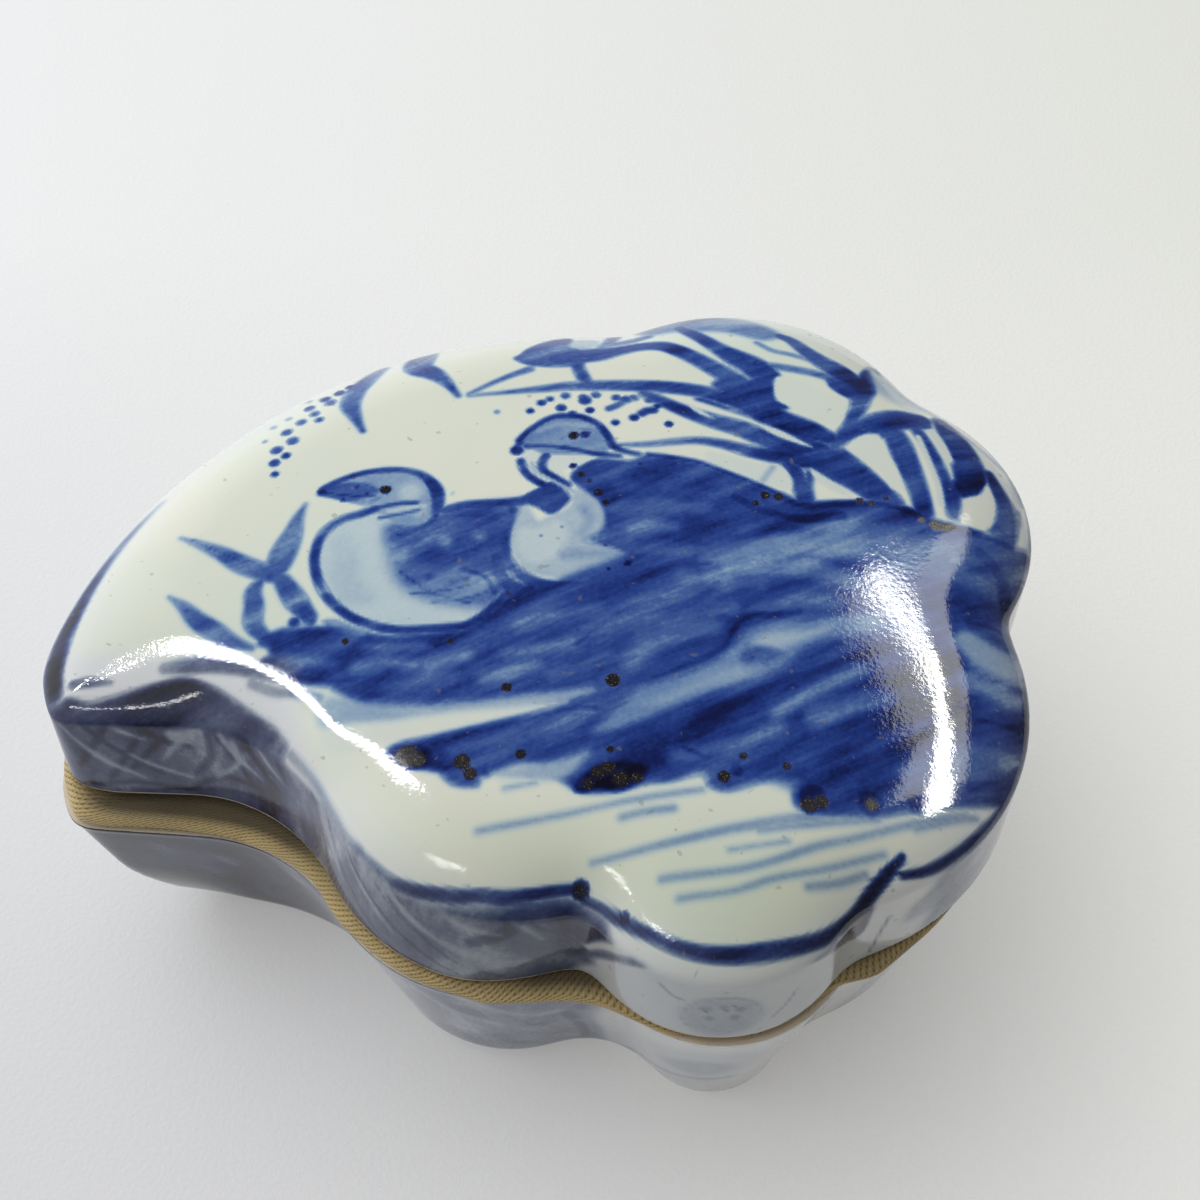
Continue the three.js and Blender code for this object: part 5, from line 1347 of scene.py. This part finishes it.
def build_base():
    """Rings from the floor's middle up inside, over the lip and the rim, and down outside to the foot."""
    taper = math.radians(BASE_TAPER)
    slope = math.tan(taper)
    lip_top = BASE_HEIGHT + LIP_HEIGHT
    hollow = LIP_SETBACK + LIP_THICKNESS

    def ring_at(depth, z):
        return at_height(base_plan.ring(depth), z)

    floor_edge = base_plan.ring(hollow + FLOOR_FILLET)
    rings = [at_height(floor_edge * share, FLOOR_THICKNESS) for share in (0.15, 0.4, 0.7, 0.9)]
    rings += [ring_at(hollow + inward, FLOOR_THICKNESS + up) for up, inward in rounding(FLOOR_FILLET, 7)]
    rings.append(ring_at(hollow, (FLOOR_THICKNESS + lip_top) / 2))
    glazed_inside = len(rings)
    rings += [ring_at(hollow - outward, lip_top - down) for outward, down in rounding(LIP_ROUND, 5)]
    rings += [ring_at(LIP_SETBACK + inward, lip_top - down) for inward, down in rounding(LIP_ROUND, 5)[::-1]]
    rings += [ring_at(LIP_SETBACK * share, BASE_HEIGHT) for share in (1, 0.5)]
    rings += [ring_at(inward, BASE_HEIGHT - down) for inward, down in rounding(EDGE_ROUND, 5)[::-1]]
    glazed = len(rings) - 2
    round_top = FOOT_ROUND * (1 - math.sin(taper))
    down_wall = np.linspace(BASE_HEIGHT - EDGE_ROUND, round_top, 32)[1:-1]
    rings += [ring_at(slope * (BASE_HEIGHT - z), z) for z in down_wall]
    centre = slope * (BASE_HEIGHT - round_top) + FOOT_ROUND * math.cos(taper)
    for a in np.linspace(taper, math.pi / 2, 10):
        rings.append(ring_at(centre - FOOT_ROUND * math.cos(a), FOOT_ROUND * (1 - math.sin(a))))
    foot = len(rings) - 3
    rings += [at_height(rings[-1][:, :2] * share, 0.0) for share in (0.94, 0.6, 0.25)]
    # The foot is drawn in under the tail's tip.
    tip = near_tip(base_plan.along, base_plan.along[-1], FOOT_TIP_REACH)
    for ring in rings[glazed:]:
        low = np.clip(1 - ring[:, 2] / FOOT_TIP_HEIGHT, 0, 1) ** FOOT_TIP_POWER
        ring[:, :2] = moved_out(ring[:, :2], -FOOT_TIP_DRAWN_IN * low * tip)

    quads = skin(rings)
    points = np.vstack(rings + [[[0, 0, FLOOR_THICKNESS]], [[0, 0, 0]]])
    floor_middle = fan(0, len(points) - 2)[:, ::-1]
    foot_middle = fan((len(rings) - 1) * COLUMNS, len(points) - 1)
    faces = np.vstack(quads).tolist() + floor_middle.tolist() + foot_middle.tolist()
    bare = [glazed_inside <= k < glazed or k >= foot for k in range(len(quads))] + [False, True]
    slots = np.repeat(bare, COLUMNS).astype(int)
    base = make_object("porcelain_base", points, faces, to_object, [base_glaze, bare_clay], slots)

    wall = Canvas(np.r_[np.tile(base_plan.along, len(rings)), NOWHERE, NOWHERE], points[:, 2])
    paint_base_wall(wall)
    shown = np.zeros(len(points))
    shown[glazed * COLUMNS:(foot + 1) * COLUMNS] = 1
    put(base, "cobalt", wall.cobalt * shown)
    put(base, "iron", wall.iron * shown)
    # Painted reflection: the base's glazed outer wall is greyed all over.
    put(base, "reflection_grey", shown)
    return base


cloth_rim, cloth_along = spaced(draw_outline(cloth_corners()), CLOTH_COLUMNS)
cloth_length = cloth_along[-1] + cloth_along[1]


def ripple(along, seed, waves):
    """A slow wave round the strip that closes on itself."""
    angle = 2 * math.pi * along / cloth_length
    return sum(size * np.sin(count * angle + seed * (k + 1.7)) for k, (count, size) in enumerate(waves))


def build_strip():
    """One strip folded lengthwise, its fold outwards, lying on the rim with the lid's edge on top."""
    lip_face = base_plan.ring(LIP_SETBACK - CLEARANCE, cloth_rim)
    normal = lid_turn.to_3x3() @ Vector((0, 0, 1))
    outward = cloth_rim / np.hypot(*cloth_rim.T)[:, None]
    sink, leaning_in = span(cloth_along, *CLOTH_SINK), span(cloth_along, *CLOTH_LEAN)
    shaded = sum(span(cloth_along, *shadow) for shadow in CLOTH_SHADOWS)
    tucked = sum(span(cloth_along, *tuck) for tuck in CLOTH_TUCKS)
    tucked += CLOTH_TIP_TUCK * near_tip(cloth_along, cloth_length, CLOTH_TIP_REACH)
    edge_line = cloth_rim + outward * (CLOTH_PROUD - tucked + ripple(cloth_along, 2.0, EDGE_RIPPLE))[:, None]
    bottom = BASE_HEIGHT + CLEARANCE

    def top_at(ring):
        """How high the strip reaches under the tilted lid."""
        x, y = ring.T
        lid_plane = LID_SHIFT[2] - (normal.x * (x - LID_SHIFT[0]) + normal.y * (y - LID_SHIFT[1])) / normal.z
        return lid_plane - CLEARANCE - sink

    def ring_at(share_in, share_up):
        """A ring that far in from the fold's edge to the lip; the edge itself leans in on its way up."""
        edge = edge_line - outward * (leaning_in * share_up)[:, None]
        return edge + (lip_face - edge) * np.reshape(share_in, (-1, 1))

    def layer(share_in, upper, lift):
        """A ring in the upper or the lower layer, on its outer face or lifted off it to its inner one."""
        ring = ring_at(share_in, float(upper))
        top = top_at(ring)
        thick = lift * np.minimum(CLOTH_THICKNESS, CLOTH_LAYER_SHARE * (top - bottom))
        return at_height(ring, top - thick if upper else bottom + thick)

    width = np.hypot(*(lip_face - edge_line).T)
    bulge = np.minimum(0.5 * (top_at(edge_line) - bottom), CLOTH_LARGEST_BULGE)
    creased = GROOVE_DEPTH * np.exp(-((cloth_along - GROOVE_ALONG) / GROOVE_REACH) ** 4)
    rings = [layer(share, True, 0) for share in (1.0, 0.8, 0.6, 0.45, 0.32, 0.24)]
    outer_top = len(rings)
    for a in np.linspace(0, math.pi, 19):
        ring = ring_at(bulge * (1 - math.sin(a)) / width, (1 + math.cos(a)) / 2)
        top = top_at(ring)
        straight = np.maximum(top - bottom - 2 * bulge, 0)
        z = (top + bottom) / 2 + (bulge + straight / 2) * math.cos(a)
        up = (z - bottom) / np.maximum(top - bottom, 0.05)
        groove = creased * np.exp(-((up - GROOVE_UP) / GROOVE_WIDTH) ** 2)
        puff = (ripple(cloth_along + 5 * up, 5.0, FOLD_RIPPLE) - groove) * math.sin(a)
        rings.append(at_height(ring + outward * puff[:, None], z))
    inside_fold = (1.1 * CLOTH_THICKNESS + 0.25) / width
    rings += [layer(share, False, 0) for share in (0.24, 0.32, 0.45, 0.6, 0.8, 0.97)]
    rings += [layer(share, False, 1) for share in (0.97, 0.8, 0.6, 0.4, inside_fold)]
    rings += [layer(share, True, 1) for share in (inside_fold, 0.4, 0.6, 0.8, 1.0)]

    points = np.vstack(rings)
    faces = np.vstack(skin(rings, closed=True))
    strip = make_object("cotton_folded_strip", points, faces.tolist(), to_object, [cotton_cloth])
    # Painted shade: the strip's top face is darkened, most in the spans that the lid's edge shades.
    painted_shade = np.zeros((len(rings), CLOTH_COLUMNS))
    painted_shade[:outer_top] = CLOTH_PAINTED_SHADE[0] + (CLOTH_PAINTED_SHADE[1] - CLOTH_PAINTED_SHADE[0]) * shaded
    put(strip, "painted_shade", painted_shade.ravel())
    # The weave follows the cloth: millimetres round the strip, and across it from ring to ring.
    grid = points.reshape(len(rings), CLOTH_COLUMNS, 3)
    steps = np.linalg.norm(np.diff(np.concatenate([grid, grid[:1]]), axis=0), axis=2).mean(1)
    ring_of, column_of = faces // CLOTH_COLUMNS, faces % CLOTH_COLUMNS
    last_ring = (ring_of == 0) & (ring_of.max(1, keepdims=True) == len(rings) - 1)
    last_column = (column_of == 0) & (column_of.max(1, keepdims=True) == CLOTH_COLUMNS - 1)
    across = np.r_[0, np.cumsum(steps)][np.where(last_ring, len(rings), ring_of)]
    run = np.where(last_column, cloth_length, cloth_along[column_of])
    weave = strip.data.uv_layers.new(name="weave")
    weave.data.foreach_set("uv", np.stack([run, across], 2).reshape(-1).astype(np.float32))
    return strip


lid, base, strip = build_lid(), build_base(), build_strip()
for piece, body, node, slot in [(lid, "lid", "lid", "lid_glaze"), (base, "base", "base", "base_glaze"),
                                (strip, "strip", "cotton_strip", "cotton")]:
    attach(piece, body)
    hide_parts(node)

# Floor, light and camera, in metres but for the heights and distances on the lid, which are in millimetres.
LID_TOP = 11
FLOOR_HALF = 2.5
FLOOR_RIGHT, FLOOR_BACK = (-0.07, 0.08), (-0.08, 0.08)
FLOOR_GLOW = 0.42


def floor_material():
    s = Shader("pale_cloth_floor")
    where = s.place()
    split = s.node("ShaderNodeSeparateXYZ", {0: where})
    right, back = s.between(split.outputs[0], *FLOOR_RIGHT), s.between(split.outputs[1], *FLOOR_BACK)
    # Painted shade: the floor is darker near the front on the left and far off on the right, for how the
    # light falls across it.
    near = s.mix(right, linear((201, 200, 204)), linear((253, 251, 246)))
    far = s.mix(right, linear((248, 248, 247)), linear((232, 232, 224)))
    colour = s.mix(back, near, far)
    weave = s.bump(0.15, 0.0004, s.noise(2200, 2, 0.6, where))
    fold = s.bump(0.35, 0.006, s.noise(7, 1, 0.4, where), weave)
    s.finish(Base_Color=colour, Roughness=0.9, Normal=fold, Specular_IOR_Level=0.1)
    # Part of the backdrop's paleness is only what the camera and the glaze see of it, so it doesn't light
    # the walls.
    path = s.node("ShaderNodeLightPath")
    seen = s.math("MAXIMUM", path.outputs["Is Camera Ray"], path.outputs["Is Glossy Ray"])
    pale = s.node("ShaderNodeEmission", {"Color": s.tinted(colour, linear((234, 234, 234)))})
    shown = s.node("ShaderNodeMixShader", {0: s.times(seen, FLOOR_GLOW), 1: s.principled, 2: pale})
    s.join(shown, s.tree.nodes["Material Output"].inputs["Surface"])
    return s.material


floor_mesh = bpy.data.meshes.new("floor")
floor_corners = [(x * FLOOR_HALF, y * FLOOR_HALF, 0) for x, y in [(-1, -1), (1, -1), (1, 1), (-1, 1)]]
floor_mesh.from_pydata(floor_corners, [], [(0, 1, 2, 3)])
floor = bpy.data.objects.new("floor", floor_mesh)
bpy.context.scene.collection.objects.link(floor)
floor.data.materials.append(floor_material())


class Sky(Nodes):
    def __init__(self, world):
        self.tree = world.node_tree
        self.direction = self.node("ShaderNodeTexCoord").outputs["Generated"]

    def towards(self, x, y, z):
        inputs = {0: self.direction, 1: (x, y, z)}
        return self.node("ShaderNodeVectorMath", inputs, operation="DOT_PRODUCT").outputs["Value"]


DOME_STRENGTH, DOME_LEAST = 2.8, 0.05
world = bpy.data.worlds.new("studio")
bpy.context.scene.world = world
world.use_nodes = True
sky = Sky(world)
# A soft dome, brightest high behind the box on the left.
dome_glow = sky.math("POWER", sky.between(sky.towards(-0.55, 0.44, 0.7), 0.0, 1.0), 2.0)
dome_light = sky.math("MULTIPLY_ADD", dome_glow, DOME_STRENGTH, DOME_LEAST)
# What the glaze mirrors of it is dimmer, and dark behind the box, so the blue keeps its depth.
daylight = sky.between(sky.towards(-0.83, 0.45, 0.34), 0.0, 1.0, 0.1, 1.3)
mirrored_room = sky.times(daylight, sky.between(sky.towards(0.03, 0.62, 0.78), 0.62, 0.9, 1.0, 0.05))
path = sky.node("ShaderNodeLightPath")
strength = sky.mix(path.outputs["Is Glossy Ray"], dome_light, mirrored_room)
lit_sky = sky.node("ShaderNodeBackground", {"Color": (0.95, 0.97, 1.0, 1.0), "Strength": strength})
shown_sky = sky.node("ShaderNodeBackground", {"Color": linear((240, 240, 238))})
both = sky.node("ShaderNodeMixShader", {0: path.outputs["Is Camera Ray"], 1: lit_sky, 2: shown_sky})
sky.join(both, world.node_tree.nodes["World Output"].inputs["Surface"])


WHITE, WARM, WARMER = (1, 1, 1), (1, 1, 0.92), (1, 1, 0.84)


def window(name, start, end, width, radiance, over, colour=WHITE, distance=1.2):
    """A strip of light between two directions, as it is seen from the top of the lid over (x, y)."""
    start, end = Vector(start).normalized(), Vector(end).normalized()
    away = (start + end).normalized()
    lamp = bpy.data.lights.new(name, "AREA")
    lamp.shape = "RECTANGLE"
    lamp.size, lamp.size_y = width * distance, (end - start).length * distance
    lamp.energy = radiance * math.pi * lamp.size * lamp.size_y
    lamp.color = colour
    obj = bpy.data.objects.new(name, lamp)
    side = (end - start).normalized().cross(away).normalized()
    axes = Matrix((side, away.cross(side), away)).transposed().to_4x4()
    seen_from = lid_place @ Vector((*over, LID_TOP))
    obj.matrix_world = Matrix.Translation(seen_from + away * distance) @ axes
    obj.visible_diffuse = False
    obj.visible_camera = False
    bpy.context.scene.collection.objects.link(obj)


for row in [
    ("left_window", (-0.47, 0.187, 0.863), (-0.392, 0.187, 0.901), 0.09, 42, (-26, -14)),
    ("left_window_end", (-0.398, 0.187, 0.898), (-0.295, 0.187, 0.937), 0.05, 38, (-19, -21), WHITE, 0.25),
    ("left_gap", (-0.465, -0.24, 0.85), (-0.29, -0.34, 0.895), 0.013, 34, (-12, -29)),
    ("right_window_top", (0.335, 0.55, 0.765), (0.43, 0.465, 0.775), 0.04, 26, (18, -10), WARM),
    ("right_window", (0.43, 0.465, 0.775), (0.546, 0.315, 0.777), 0.07, 36, (21, -15), WARM),
    ("right_window_bend", (0.546, 0.315, 0.777), (0.61, 0.11, 0.785), 0.1, 36, (22, -18), WARM),
    ("right_window_foot", (0.61, 0.11, 0.785), (0.647, -0.04, 0.761), 0.125, 34, (22, -21), WARM),
    ("right_blind", (0.445, 0.565, 0.695), (0.53, 0.36, 0.768), 0.37, 4.6, (20, -11), WARMER),
    ("right_blind_foot", (0.53, 0.36, 0.768), (0.6, 0.06, 0.797), 0.33, 4.8, (22, -18), WARMER),
]:
    window(*row)

# The camera looks at a point of the lid's plan, so it turns with the lid.
LENS, SENSOR = 57.0, 36.0
LOOKED_AT, CAMERA_DISTANCE, CAMERA_PITCH, CAMERA_ROLL = (-2, 0, 0), 152, 53, 1
camera_data = bpy.data.cameras.new("camera")
camera_data.lens, camera_data.sensor_width = LENS, SENSOR
camera_data.clip_start, camera_data.clip_end = 0.01, 20
camera = bpy.data.objects.new("camera", camera_data)
pitch, roll = math.radians(CAMERA_PITCH), math.radians(CAMERA_ROLL)
forward = Vector((0, math.cos(pitch), -math.sin(pitch)))
right, down = Vector((1, 0, 0)), Vector((0, -math.sin(pitch), -math.cos(pitch)))
seen_right = right * math.cos(roll) - down * math.sin(roll)
seen_down = right * math.sin(roll) + down * math.cos(roll)
axes = Matrix((seen_right, -seen_down, -forward)).transposed().to_4x4()
turned = (lid_place @ axes).to_3x3().normalized().to_4x4()
eye = lid_place @ (Vector(LOOKED_AT) - forward * CAMERA_DISTANCE)
camera.matrix_world = Matrix.Translation(eye) @ turned
bpy.context.scene.collection.objects.link(camera)
bpy.context.scene.camera = camera

bpy.context.scene.view_settings.view_transform = "Standard"
